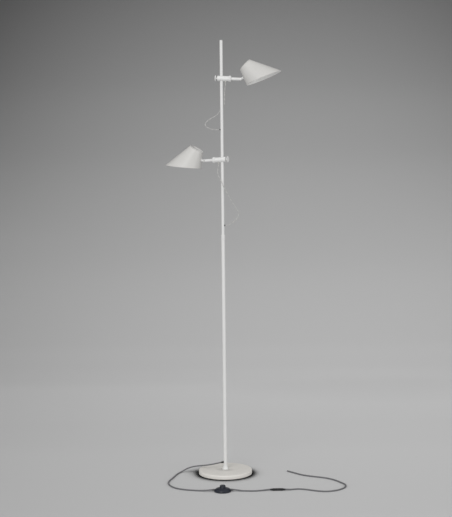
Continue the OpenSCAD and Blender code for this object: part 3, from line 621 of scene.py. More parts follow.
def noise(tree, where, scale, detail, roughness=0.5, distortion=0.0):
    node = put_node(tree, "ShaderNodeTexNoise", {"Vector": where, "Scale": scale, "Detail": detail,
                                                 "Roughness": roughness, "Distortion": distortion})
    return Sum(tree, node.outputs["Fac"])


def stretched(tree, where, scale, turn=(0, 0, 0)):
    node = put_node(tree, "ShaderNodeMapping", {"Vector": where, "Rotation": turn, "Scale": scale})
    return node.outputs["Vector"]


def paint_grain(name):
    """Fine skin of a sprayed lacquer: Height for a bump, and Tone for slow changes of shade."""
    tree, given, made = group_tree(name, {"Scale": 900.0, "Slow Scale": 14.0}, ("Height", "Tone"))
    where = own_place(tree)
    dimple = put_node(tree, "ShaderNodeTexVoronoi", {"Vector": where, "Scale": given["Scale"]},
                      feature="SMOOTH_F1").outputs["Distance"]
    height = noise(tree, where, given["Scale"], 2.0, 0.55) * 0.7 + Sum(tree, dimple) * 0.3
    feed(made, {"Height": height, "Tone": noise(tree, where, given["Slow Scale"], 4.0, 0.6)})
    return tree


def dust_and_scuffs(name):
    """Dust on faces that look up, and scuffs where things are handled, as two masks."""
    tree, given, made = group_tree(name, {"Dust": 0.5, "Scuffs": 0.3, "Scuff Scale": 60.0}, ("Dust", "Scuff"))
    where = own_place(tree)
    up = split(tree, put_node(tree, "ShaderNodeNewGeometry").outputs["Normal"])[2]
    speck, cloud = noise(tree, where, 420.0, 5.0, 0.7), noise(tree, where, 22.0, 3.0)
    dust = up.eased(0.55, 1.0) * speck.eased(0.35, 0.75) * (cloud + 0.2) * given["Dust"]
    lines = noise(tree, stretched(tree, where, (1.0, 5.0, 1.6), (0.4, 0.2, 0.7)), given["Scuff Scale"], 6.0, 0.75)
    scuff = lines.eased(0.66, 0.74) * cloud.eased(0.45, 0.6) * given["Scuffs"]
    feed(made, {"Dust": dust.share(), "Scuff": scuff.share()})
    return tree


def drawn_lines(name):
    """Fine lines of turned or drawn steel along one direction, as a Height and a Tone."""
    tree, given, made = group_tree(name, {"Across": 900.0, "Along": 30.0}, ("Height", "Tone"))
    where = own_place(tree)
    scale = combined(tree, given["Across"], given["Along"], given["Across"])
    feed(made, {"Height": noise(tree, stretched(tree, where, scale), 1.0, 3.0),
                "Tone": noise(tree, where, 160.0, 4.0)})
    return tree


GROUPS = {"Ring of ribs": rib_tree, "Coil spring": spring_tree, "Obliquely cut cone shell": shell_tree,
          "Paint grain": paint_grain, "Dust and scuffs": dust_and_scuffs, "Drawn lines": drawn_lines}


def placed_group(tree, name, **values):
    """A group's node with its inputs set, as its outputs by name."""
    node = put_node(tree, "ShaderNodeGroup", node_tree=node_group(name))
    feed(node, {key.replace("_", " "): value for key, value in values.items()})
    return {output.name: Sum(tree, output) for output in node.outputs}


def mixed_colour(tree, factor, a, b):
    """Colour a where the factor is 0, and b where it is 1."""
    a, b = (c if isinstance(c, bpy.types.NodeSocket) else (*c[:3], 1.0) for c in (a, b))
    return put_node(tree, "ShaderNodeMix", {0: factor, 6: a, 7: b}, data_type="RGBA").outputs[2]


def shade_of(colour, factor):
    return tuple(c * factor for c in colour[:3])


def new_finish(name):
    """The tree and the shader of a new material."""
    material = bpy.data.materials.new(name)
    material.use_nodes = True
    tree = material.node_tree
    tree.nodes.clear()
    shader = put_node(tree, "ShaderNodeBsdfPrincipled")
    put_node(tree, "ShaderNodeOutputMaterial", {"Surface": shader.outputs["BSDF"]})
    return tree, shader


def coat(shader, colour, roughness, height, strength, depth, **more):
    """Gives a shader its colour, its roughness, its fine relief and any more inputs by name."""
    relief = put_node(shader.id_data, "ShaderNodeBump", {"Strength": strength, "Distance": depth,
                                                         "Height": height})
    feed(shader, {"Base Color": colour, "Roughness": roughness, "Normal": relief.outputs["Normal"], **more})


def lacquer_coat(tree, shader, colour, roughness, dust, scuffs):
    """Sprayed satin lacquer with a fine skin, a slow change of shade, dust and a few scuffs."""
    grain = placed_group(tree, "Paint grain", Scale=1400.0, Slow_Scale=16.0)
    wear = placed_group(tree, "Dust and scuffs", Dust=dust, Scuffs=scuffs, Scuff_Scale=70.0)
    toned = mixed_colour(tree, grain["Tone"], shade_of(colour, 0.965), shade_of(colour, 1.03))
    dusty = mixed_colour(tree, wear["Dust"], toned, (0.42, 0.40, 0.37))
    coat(shader, mixed_colour(tree, wear["Scuff"], dusty, shade_of(colour, 0.62)),
         (grain["Tone"] * 0.14 + (roughness - 0.07) + wear["Dust"] * 0.4).share(), grain["Height"], 0.12, 0.0003)


def metal_coat(tree, shader, colour, roughness, across=900.0, along=30.0, metallic=1.0, dark=0.7):
    """Bare metal with drawn lines and cloudy tarnish."""
    lines = placed_group(tree, "Drawn lines", Across=across, Along=along)
    cloudy = lines["Tone"].eased(0.4, 0.75)
    coat(shader, mixed_colour(tree, cloudy, colour, shade_of(colour, dark)),
         lines["Height"] * 0.25 + (roughness - 0.12), lines["Height"], 0.15, 0.0002, Metallic=metallic)


def plastic_coat(tree, shader, colour, roughness, grain=2200.0, relief=0.15, dust=0.1, worn=(0.10, 0.10, 0.10)):
    """Moulded plastic with a spark-eroded skin, dust and pale rub marks."""
    skin = placed_group(tree, "Paint grain", Scale=grain, Slow_Scale=40.0)
    wear = placed_group(tree, "Dust and scuffs", Dust=dust, Scuffs=0.5, Scuff_Scale=130.0)
    toned = mixed_colour(tree, skin["Tone"], shade_of(colour, 0.9), shade_of(colour, 1.12))
    rubbed = mixed_colour(tree, wear["Scuff"], toned, worn)
    coat(shader, mixed_colour(tree, wear["Dust"], rubbed, (0.20, 0.19, 0.18)),
         (skin["Tone"] * 0.2 + (roughness - 0.1) + wear["Dust"] * 0.5).share(), skin["Height"], relief, 0.0002)


def sheath_coat(tree, shader, colour, roughness, pitch=0.0):
    """Extruded sheath: faint lines along the cord, handling marks and, with a pitch, the twist inside it."""
    along, across, _ = split(tree, put_node(tree, "ShaderNodeUVMap", uv_map="UVMap").outputs["UV"])
    turn = across * (2 * math.pi)
    lines = (turn * 9.0).step("SINE")
    marks = noise(tree, combined(tree, along, 0.0, 0.0), 35.0, 5.0, 0.65)
    skin = placed_group(tree, "Paint grain", Scale=1800.0, Slow_Scale=30.0)
    toned = mixed_colour(tree, marks, shade_of(colour, 0.82), shade_of(colour, 1.2))
    if pitch:
        lines = (turn + along * (2 * math.pi / pitch)).step("SINE")
        toned = mixed_colour(tree, lines.eased(-0.2, 0.6) * 0.45, toned, (0.80, 0.79, 0.76))
    wear = placed_group(tree, "Dust and scuffs", Dust=0.35, Scuffs=0.4, Scuff_Scale=90.0)
    coat(shader, mixed_colour(tree, wear["Dust"], toned, (0.25, 0.24, 0.23)),
         skin["Tone"] * 0.2 + (roughness - 0.1), lines * 0.25 + skin["Height"] * 0.6, 0.2, 0.0002)


def felt_coat(tree, shader):
    """Pressed dark felt with short fibres."""
    where = own_place(tree)
    fluff = noise(tree, where, 1500.0, 6.0, 0.8, 2.0) * 0.7 + noise(tree, where, 45.0, 3.0) * 0.3
    coat(shader, mixed_colour(tree, fluff, (0.012, 0.012, 0.013), (0.05, 0.05, 0.052)), 0.95, fluff, 0.6, 0.0006,
         **{"Sheen Weight": 0.3})


def glass_coat(tree, shader):
    """Frosted white glass of the bulbs, with a faint unevenness of its inner powder."""
    powder = noise(tree, own_place(tree), 260.0, 5.0)
    coat(shader, mixed_colour(tree, powder, (0.82, 0.81, 0.78), (0.90, 0.89, 0.86)), powder * 0.15 + 0.22,
         powder, 0.05, 0.0002, **{"Subsurface Weight": 0.25, "Subsurface Radius": (0.004, 0.004, 0.004)})


def finishes():
    """Every finish of the lamp by a short name. Each is made once."""
    c = bpy.context.scene.lamp_colours
    rows = {
        "lacquer": (lacquer_coat, "Satin lacquer", c.lacquer, 0.42, 0.18, 0.25),
        "pole": (lacquer_coat, "Satin lacquer on the pole", c.pole, 0.40, 0.1, 0.35),
        "base": (lacquer_coat, "Satin lacquer on the base", c.base, 0.45, 0.2, 0.3),
        "rubber": (plastic_coat, "Grey rubber", (0.07, 0.07, 0.074), 0.6, 1800.0, 0.1, 0.1, (0.15, 0.15, 0.15)),
        "reflector": (lacquer_coat, "Reflector white", c.reflector, 0.36, 0.1, 0.05),
        "steel": (metal_coat, "Zinc plated steel", (0.62, 0.62, 0.60), 0.38),
        "iron": (metal_coat, "Cast iron", (0.11, 0.11, 0.11), 0.8, 300.0, 300.0, 0.6, 0.6),
        "brass": (metal_coat, "Nickelled brass", (0.72, 0.60, 0.36), 0.32),
        "felt": (felt_coat, "Pressed felt"),
        "plastic": (plastic_coat, "Black plastic", c.plastic, 0.55),
        "switch": (plastic_coat, "Blue black plastic", c.switch, 0.33, 1500.0, 0.08, 0.1, (0.05, 0.055, 0.07)),
        "nylon": (plastic_coat, "Pale nylon", (0.62, 0.61, 0.57), 0.5, 1600.0, 0.1, 0.1, (0.45, 0.44, 0.42)),
        "bakelite": (plastic_coat, "Brown black bakelite", (0.022, 0.016, 0.013), 0.35, 900.0, 0.06),
        "mains": (sheath_coat, "Grey cord sheath", c.mains, 0.5),
        "cable": (sheath_coat, "Clear cable sheath", c.cable, 0.3, 0.016),
        "glass": (glass_coat, "Frosted glass"),
    }
    for make, name, *values in rows.values():
        if name not in bpy.data.materials:
            make(*new_finish(name), *values)
    return {key: bpy.data.materials[row[1]] for key, row in rows.items()}


# ---------------------------------------------------------------- operators


# Painted shade of the paper against the run along it in metres, from the floor in front up to the wall's top:
# lightest just before the curve, darker towards the front and much darker up the curve and the wall
PAPER_PAINTED_SHADE = [(8.5, 0.725), (9.2, 0.805), (9.6, 0.838), (9.95, 0.882), (10.64, 0.964), (10.86, 0.925),
               (11.1, 0.842), (11.4, 0.765), (12.1, 0.635), (12.8, 0.513), (13.3, 0.425), (13.85, 0.283),
               (14.5, 0.2)]
PAPER_HALF_WIDTH, PAPER_TOP = 9.0, 4.5
WALL_DISTANCE, WALL_BEND, BEND_STEPS = 3.4, 1.6, 24
FIRST_RUN = 3.0
# Ranges of the paper, carried over to ranges of painted shade, which darkens the paper to the left and towards its
# sides higher up: low, high, factor at low, factor at high
PAINTED_SHADE_ACROSS, LIFT, BOW = (-2.5, 2.5, 0.81, 1.19), (10.4, 14.0, 1.045, 1.19), (12.3, 14.3, 0.06, 0.27)
BOW_MIDDLE, DARKEST = 0.17, 0.4
# The painted shadow round the base, a dark halo and a line of contact: reach, where it has faded out, power at the
# base's rim and far from it
PAINTED_SHADOW_NEAR_BASE = ((0.08, 0.165, 4.2, 0.2), (0.032, 0.135, 4.5, 0.0))
RIM = 0.108
ROOM_TO_THE_EYE = 0.40


class LampStageBuild(bpy.types.Operator):
    """Make the camera, the soft lights, the floor and the backdrop"""

    bl_idname = "lamp.stage"
    bl_label = "Camera, lights and floor"

    def execute(self, context):
        s = context.scene.lamp_stage
        forward = Vector((0, math.cos(s.camera_pitch), -math.sin(s.camera_pitch)))
        right, up = Vector((1, 0, 0)), Vector((0, math.sin(s.camera_pitch), math.cos(s.camera_pitch)))
        cr, sr = math.cos(s.camera_roll), math.sin(s.camera_roll)
        x, y = cr * right - sr * up, sr * right + cr * up
        data = bpy.data.cameras.new("Camera")
        data.sensor_fit, data.sensor_width, data.lens = "HORIZONTAL", 36.0, s.camera_lens
        data.clip_end = 50
        camera = bpy.data.objects.new("Camera", data)
        camera.matrix_world = (Matrix.Translation((s.camera_side, -s.camera_distance, s.camera_height))
                               @ Matrix((x, y, -forward)).transposed().to_4x4())
        context.scene.collection.objects.link(camera)
        context.scene.camera = camera
        self.backdrop(context.scene.lamp_colours.backdrop)
        self.lights(context, s)
        context.scene.view_settings.view_transform = "Standard"
        return {"FINISHED"}

    def backdrop(self, colour):
        """Floor and wall in one sheet, joined by a wide curve, and seen from its front alone."""
        line = [(-PAPER_HALF_WIDTH, 0.0), (-3.0, 0.0)]
        line += arc(WALL_DISTANCE - WALL_BEND, WALL_BEND, WALL_BEND, -math.pi / 2, 0, BEND_STEPS)
        line.append((WALL_DISTANCE, PAPER_TOP))
        sides = (-PAPER_HALF_WIDTH, PAPER_HALF_WIDTH)
        verts = [(x, y, z) for y, z in line for x in sides]
        faces = [(2 * i, 2 * i + 1, 2 * i + 3, 2 * i + 2) for i in range(len(line) - 1)]
        runs = [0.0]
        for (y0, z0), (y1, z1) in zip(line, line[1:]):
            runs.append(runs[-1] + math.hypot(y1 - y0, z1 - z0))
        name = "Grey paper backdrop"
        tree, shader = new_finish(name)
        # The paper's colour holds painted shade along and across it, and a painted shadow round the base
        painted_shade = self.painted_shade_of_paper(tree, runs[-1]) * self.painted_shadow_at_the_base(tree)
        feed(shader, {"Base Color": mixed_colour(tree, painted_shade, (0, 0, 0), colour), "Roughness": 0.9,
                      "Specular IOR Level": 0.1})
        both = put_node(tree, "ShaderNodeMixShader", {
            0: put_node(tree, "ShaderNodeNewGeometry").outputs["Backfacing"], 1: shader.outputs["BSDF"],
            2: put_node(tree, "ShaderNodeBsdfTransparent").outputs["BSDF"]})
        feed(next(n for n in tree.nodes if n.type == "OUTPUT_MATERIAL"), {"Surface": both.outputs["Shader"]})
        add_mesh("Backdrop", verts, faces, bpy.data.materials[name],
                          [(x, run) for run in runs for x in sides])

    def painted_shade_of_paper(self, tree, last_run):
        """Painted shade of the paper: how light it is along its run and sideways."""
        across, along, _ = split(tree, put_node(tree, "ShaderNodeUVMap", uv_map="UVMap").outputs["UV"])
        ramp = put_node(tree, "ShaderNodeValToRGB", {0: along.spread(FIRST_RUN, last_run)})
        stops = ramp.color_ramp.elements
        for at, painted_shade in PAPER_PAINTED_SHADE:
            stops.new((at - FIRST_RUN) / (last_run - FIRST_RUN)).color = (painted_shade, painted_shade, painted_shade, 1)
        ramp.color_ramp.interpolation = "CARDINAL"
        stops.remove(stops[0])
        stops.remove(stops[-1])
        aside = across - BOW_MIDDLE
        falloff = (along.spread(*LIFT) - along.spread(*BOW) * (aside * aside)).step("MAXIMUM", DARKEST)
        return Sum(tree, ramp.outputs["Color"]) * (across.spread(*PAINTED_SHADE_ACROSS) * falloff)

    def painted_shadow_at_the_base(self, tree):
        """Painted shadow on the paper: a wide halo and a dark line of contact round the base, for the camera's own
        rays.
        """
        away = Sum(tree, put_node(tree, "ShaderNodeVectorMath", {0: own_place(tree)},
                                  operation="LENGTH").outputs["Value"])
        seen = put_node(tree, "ShaderNodeLightPath").outputs["Is Camera Ray"]
        # Painted shadow: each occlusion, raised to a power near the base, darkens the paper's colour
        halo, contact = (
            Sum(tree, put_node(tree, "ShaderNodeAmbientOcclusion", {"Distance": reach}, samples=12).outputs["AO"])
            .step("POWER", (away.eased(faded, RIM) * power + elsewhere) * seen)
            for reach, faded, power, elsewhere in PAINTED_SHADOW_NEAR_BASE)
        return halo * contact

    def lights(self, context, s):
        """Two soft lights, and the even light of the room."""
        for name, place, aim, size, power in (
                ("Key", (-1.6, -4.2, 2.9), (0, 0, 0.8), 2.6, s.key_power),
                ("Fill", (3.4, -2.6, 1.6), (0, 0, 0.9), 2.0, s.fill_power)):
            data = bpy.data.lights.new(name, "AREA")
            data.shape, data.size, data.energy = "SQUARE", size, power
            light = bpy.data.objects.new(name, data)
            light.matrix_world = Matrix.Translation(place) @ facing(Vector(aim) - Vector(place), "-Z")
            context.scene.collection.objects.link(light)
        world = bpy.data.worlds.new("Room")
        context.scene.world = world
        world.use_nodes = True
        tree = world.node_tree
        path = {output.name: Sum(tree, output) for output in put_node(tree, "ShaderNodeLightPath").outputs}
        seen = path["Is Camera Ray"].step("MAXIMUM", path["Is Glossy Ray"].step("MAXIMUM",
                                                                              path["Is Transmission Ray"]))
        strength = put_node(tree, "ShaderNodeMix", {0: seen, 2: s.world_strength, 3: ROOM_TO_THE_EYE}).outputs[0]
        feed(next(n for n in tree.nodes if n.type == "BACKGROUND"), {"Color": (1, 1, 1, 1), "Strength": strength})


# Steps of a cord between two points of its route, and its sides
STEPS, TWIST_STEPS, CORD_SIDES, CABLE_SIDES = 5, 10, 16, 12
# A cable's first steps stay in the clamp's bush, and its last 4 mm of height in the tube's grommet
SHORTEST_CORD = 0.03
DECLARE = {}
ON_CORD = {
    "mains_cord_base": ["mains_gland_sleeve", "foot_switch_cover", "foot_switch_button", "switch_base",
                        "foot_switch_spring", "switch_terminals"],
    "mains_cord_link": ["inline_connector_socket", "inline_connector_plug", "connector_pin"],
    "upper_slack": ["hole_grommets"],
    "lower_slack": ["hole_grommets"],
}


class LampCords(bpy.types.Operator):
    """Make the mains cord in its three stretches and the two thin cables"""

    bl_idname = "lamp.cords"
    bl_label = "Cords and cables"

    def execute(self, context):
        s, finish = context.scene.lamp_sizes, finishes()
        for name, route, far_end in (("mains_cord_base", MAINS_BASE, "fitting"),
                                     ("mains_cord_link", MAINS_LINK, "connector"),
                                     ("mains_cord_tail", MAINS_TAIL, "bare")):
            line = smooth_route(route, STEPS)
            cord = tube(name + "_sheath", line, s.mains_diameter, finish["mains"], CORD_SIDES)
            settle(cord, "pole", "cord_plastic", name)
            DECLARE[name] = (cord, line, s.mains_diameter, far_end, "medium", "loose")
        for head, twist, rest in (("upper", UPPER_TWIST, UPPER_CABLE), ("lower", LOWER_TWIST, LOWER_CABLE)):
            line = smooth_route(twist, TWIST_STEPS)
            winding = tube(head + "_cable_top", line, s.cable_diameter, finish["cable"], CABLE_SIDES)
            settle(winding, None, "cable_plastic", head + "_cable_twist")
            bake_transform(winding)
            DECLARE[head + "_twist"] = (winding, line, s.cable_diameter, "object", "limp", "hanging")
            line = smooth_route(rest, STEPS)
            slack = tube(head + "_cable_slack", line, s.cable_diameter, finish["cable"], CABLE_SIDES)
            settle(slack, None, "cable_plastic", head + "_cable")
            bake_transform(slack)
            DECLARE[head + "_slack"] = (slack, line, s.cable_diameter, "object", "limp", "hanging")
        return {"FINISHED"}


def declare_cords():
    """Goes through each cord, finds the pieces on it and works out its length, and keeps none of it."""
    for name, (cord, line, diameter, far_end, stiffness, lay) in DECLARE.items():
        pieces = [bpy.data.objects[n] for n in ON_CORD.get(name, ()) if n in bpy.data.objects]
        max(SHORTEST_CORD, route_length(line))


class LampSolids(bpy.types.Operator):
    """Give the solids that stay as they are their finishes"""

    bl_idname = "lamp.solids"
    bl_label = "Finish of the plain solids"

    def execute(self, context):
        finish = finishes()
        plain = {
            "steel": ["base_washer", "base_bolt", "foot_plug"], "iron": ["base_weight"], "felt": ["base_pad"],
            "pole": ["lower_tube", "upper_tube"], "nylon": ["riser_leads"], "plastic": ["hole_grommets"],
            "switch": ["switch_base"], "brass": ["switch_terminals", "connector_pin"],
        }
        for head in HEADS:
            plain["pole"] += [head + "_clamp", head + "_arm", head + "_knuckle"]
            plain["steel"] += [head + "_pivot_screw", head + "_shade_nut", head + "_bracket", head + "_washer"]
            plain["nylon"].append(head + "_liner")
        for kind, names in plain.items():
            for name in names:
                materials = frame["nodes"][name].data.materials
                materials.clear()
                materials.append(finish[kind])
        return {"FINISHED"}


# The profiles below are (r, z) points in millimetres, round the piece's own Z axis


class LampBase(bpy.types.Operator):
    """Make the base cover and the flared collar at the pole's foot"""

    bl_idname = "lamp.base"
    bl_label = "Base"

    def execute(self, context):
        s, finish = context.scene.lamp_sizes, finishes()
        r, top, e = s.base_radius / MM, s.base_top / MM, s.base_edge / MM
        wall, low, hole, tube_r = 1.5, 1.6, 4.1, 6.83
        profile = [(r - 0.4, low), (r, low + 0.4)] + arc(r - e, top - e, e, 0, math.pi / 2, 10)
        profile += [(40, top), (hole, top), (hole, top - wall)]
        profile += arc(r - e, top - e, e - wall, math.pi / 2, 0, 6) + [(r - wall, low)]
        cover = turned("base_disc_cover", profile, Matrix(), finish["base"], 192)
        settle(cover, "pole", "lacquer", "base_cover")
        flare = [(r, top + z) for r, z in (
            (tube_r, 0), (11.9, 0), (12, 0.4), (11.9, 2.2), (11, 3.6), (9.9, 5.5), (9, 7.8), (8.3, 10.2),
            (7.8, 12.6), (7.6, 14.6), (7.2, 15), (tube_r, 15))]
        collar = turned("foot_flare", flare, Matrix(), finish["pole"])
        settle(collar, "pole", "lacquer", "foot_collar")
        return {"FINISHED"}


class LampPole(bpy.types.Operator):
    """Make the ferrule, the cap and the gland of the mains cord"""

    bl_idname = "lamp.pole"
    bl_label = "Pole fittings"

    def execute(self, context):
        finish = finishes()
        z, r, bore = 893, 7.25, 6.8
        ring = [(bore, z - 20), (r - 0.3, z - 20), (r, z - 19.7), (r, z - 17.5), (r - 0.25, z - 17.1),
                (r - 0.25, z - 16.7), (r, z - 16.3), (r, z - 1.2), (r - 0.3, z - 0.4), (r - 0.9, z),
                (5.55, z), (5.55, z - 3), (bore, z - 3)]
        ferrule = turned("tube_joint_ring", rounded(ring, 0.2, 2), Matrix(), finish["pole"])
        settle(ferrule, "pole", "lacquer", "joint_ferrule")
        top = 1600
        cap = turned("pole_top_cap", [
            (0, top - 14.5), (4.45, top - 14.5), (4.45, top - 2.5), (5.5, top - 2.5), (5.5, top - 1.2),
            (5.2, top - 0.6), (4.6, top - 0.2), (3, top), (0, top)], Matrix(), finish["pole"], 72)
        settle(cap, "pole", "lacquer", "top_cap")
        self.gland(finish)
        return {"FINISHED"}

    def gland(self, finish):
        """Tapered bend relief with ring grooves, from the pole to the cord."""
        start, end = Vector((-6.75, 0, 43)), Vector((-16.5, 0, 41.2))
        reach, rings = (end - start).length, 2
        profile = [(0, -0.5), (4.2, -0.5), (4.4, 0.9), (4.1, 1.7), (3.6, 2.1)]
        for k in range(rings):
            a, b = (2.6 + (reach - 4.2) * i / rings for i in (k, k + 1))
            r = 3.7 - 0.8 * (k + 0.5) / rings
            profile += [(r, a + 0.3), (r + 0.1, (a + b) / 2 - 0.4), (r, b - 0.9), (r - 0.45, b - 0.6),
                        (r - 0.45, b - 0.2)]
        profile += [(2.8, reach - 1.2), (2.75, reach - 0.3), (2.6, reach), (0, reach)]
        place = shift(*start) @ facing(end - start)
        sleeve = turned("mains_gland_sleeve", profile, place, finish["plastic"], 48)
        settle(sleeve, "pole", "black_plastic", "mains_gland")


class LampShades(bpy.types.Operator):
    """Make the two spun shades, cut obliquely and open at both ends"""

    bl_idname = "lamp.shades"
    bl_label = "Shades"

    def execute(self, context):
        s, finish = context.scene.lamp_sizes, finishes()
        for head in HEADS:
            shell = made_shape(head + "_shade_shell", "Obliquely cut cone shell", shade_place(head), {
                "Ring Radius": s.ring_radius, "Half Angle": s.half_angle, "Short Wall": s.short_wall,
                "Long Wall": s.long_wall, "Sheet": s.shade_wall, "Bead": s.bead_radius, "Around": 192, "Rows": 30,
                "Material": finish["lacquer"], "Inner Material": finish["reflector"]})
            settle(shell, head + "_shade_body", "lacquer", head + "_shade")
        return {"FINISHED"}


class LampBulbs(bpy.types.Operator):
    """Make the bulbs and the lampholders"""

    bl_idname = "lamp.bulbs"
    bl_label = "Bulbs and lampholders"

    def execute(self, context):
        finish = finishes()
        r = 12
        holder = [(0, -6), (4.5, -6), (5, -6.8), (7.8, -7.1), (9.8, -8), (11.3, -9.4), (r, -11.2), (r, -13.8),
                  (r - 0.5, -14.1), (r - 0.5, -14.7), (r, -15)]
        holder += again(5, -1.4, [(r, -27.2), (r, -27.8), (r - 0.5, -28.1), (r - 0.5, -28.4)])
        holder += [(r, -35), (r - 0.4, -36), (8.3, -36), (8, -35.5), (8, -14.2), (0, -14.2)]
        for head in HEADS:
            place, body = shade_place(head), head + "_shade_body"
            piece = turned(head + "_socket_body", rounded(holder, 0.25, 2), place, finish["bakelite"], 72)
            settle(piece, body, "black_plastic", head + "_lampholder")
            self.bulb(head, place, body, finish)
        return {"FINISHED"}

    def bulb(self, head, place, body, finish):
        """A glass with a round end and a waist that runs into its screw cap."""
        R, cap_low = 14, -35.5
        middle, join_a = -36.3 - 1.4 * R, math.asin(0.3)
        profile = [(0, -15.2), (3, -15.2), (3.4, -16), (5.8, -17.6)]
        profile += again(6, -2.6, [(6.7, -18.6), (6.9, -19.2), (6.7, -19.8), (6.2, -20.4)])
        profile += [(6.6, -35), (6.7, -36.2), (6.8, -37.2)]
        start = Vector(profile[-1])
        end = Vector((R * math.cos(join_a), middle + R * math.sin(join_a)))
        pull, push = start + Vector((0.4, -6)), end + 5.5 * Vector((-math.sin(join_a), math.cos(join_a)))
        for t in (k / 9 for k in range(1, 9)):
            profile.append(tuple((1 - t) ** 3 * start + 3 * t * (1 - t) ** 2 * pull
                                 + 3 * t * t * (1 - t) * push + t ** 3 * end))
        profile += arc(0, middle, R, join_a, -math.pi / 2, 24)
        bulb = turned(head + "_bulb_glass", profile, place, finish["glass"], 64)
        bulb.data.materials.append(finish["brass"])
        inverse = place.inverted()
        for poly in bulb.data.polygons:
            if (inverse @ poly.center).z > cap_low * MM:
                poly.material_index = 1
        settle(bulb, body, "frosted_glass", head + "_bulb")


class LampClamps(bpy.types.Operator):
    """Make the knurled thumbscrews, the ring collars and the cable grommets of the clamps"""

    bl_idname = "lamp.clamps"
    bl_label = "Clamp fittings"

    def execute(self, context):
        finish = finishes()
        for head in HEADS:
            place = along_x(arm_place(head))
            self.thumbscrew(head, place, finish)
            self.collar(head, place, finish)
            self.grommet(head, arm_place(head), finish)
        return {"FINISHED"}

    def thumbscrew(self, head, place, finish):
        """The disc behind the pole and its screw."""
        profile = [(0, -21.9), (3.5, -22), (6.6, -22.6), (8.8, -23.3), (9.7, -23.3), (10.3, -22.9), (10.3, -20.6),
                   (9.7, -20.1), (5.8, -20.1), (4, -19.6), (3, -18.7), (3, -14.8), (2.5, -14.7), (2.5, -7.4),
                   (2, -6.9), (0, -6.9)]
        disc = turned(head + "_thumb_disc", rounded(profile, 0.3, 3), place, finish["pole"])
        ribs = ring_of_ribs(head + "_thumb_ribs", place, -21.75, 10.22, 72, (0.55, 0.6, 2.6), finish["pole"])
        piece = join(head + "_thumb_screw", [disc, ribs])
        settle(piece, head + "_screw", "lacquer", head + "_thumbscrew")

    def collar(self, head, place, finish):
        """The knurled ring round the arm's hub."""
        r = 11
        profile = [(8.05, 27.25), (r - 0.6, 27.25), (r, 27.85), (r, 29.6), (r - 0.3, 29.9), (r - 0.3, 34),
                   (r, 34.3), (r, 35), (r - 0.6, 35.6), (6.1, 35.6), (5.6, 35.2), (5.6, 33.65), (8.05, 33.65)]
        ring = turned(head + "_collar_ring", rounded(profile, 0.2, 2), place, finish["pole"])
        ribs = ring_of_ribs(head + "_collar_ribs", place, 31.95, 10.68, 60, (0.7, 0.6, 4), finish["pole"])
        piece = join(head + "_ring_collar", [ring, ribs])
        settle(piece, head + "_clamp_body", "lacquer", head + "_collar")

    def grommet(self, head, place, finish):
        """The bush where the cable leaves the clamp."""
        profile = [(1.3, 2.6), (2.5, 2.6), (2.5, -0.1), (3.5, -0.2), (3.4, -0.9), (2.6, -1.3), (2.2, -2.2),
                   (2.4, -2.5), (2.1, -3), (2.2, -3.4), (1.8, -4.2), (1.3, -4.2)]
        piece = turned(head + "_cable_bush", profile, place @ shift(15.3, 0, -9.25), finish["nylon"], 40)
        settle(piece, head + "_clamp_body", "liner_plastic", head + "_grommet")


# The foot switch: its outer radius, the height of its rim and of its top, and its wall
SWITCH_R, SWITCH_RIM, SWITCH_TOP, SWITCH_WALL = 30, 4.6, 14, 1.8


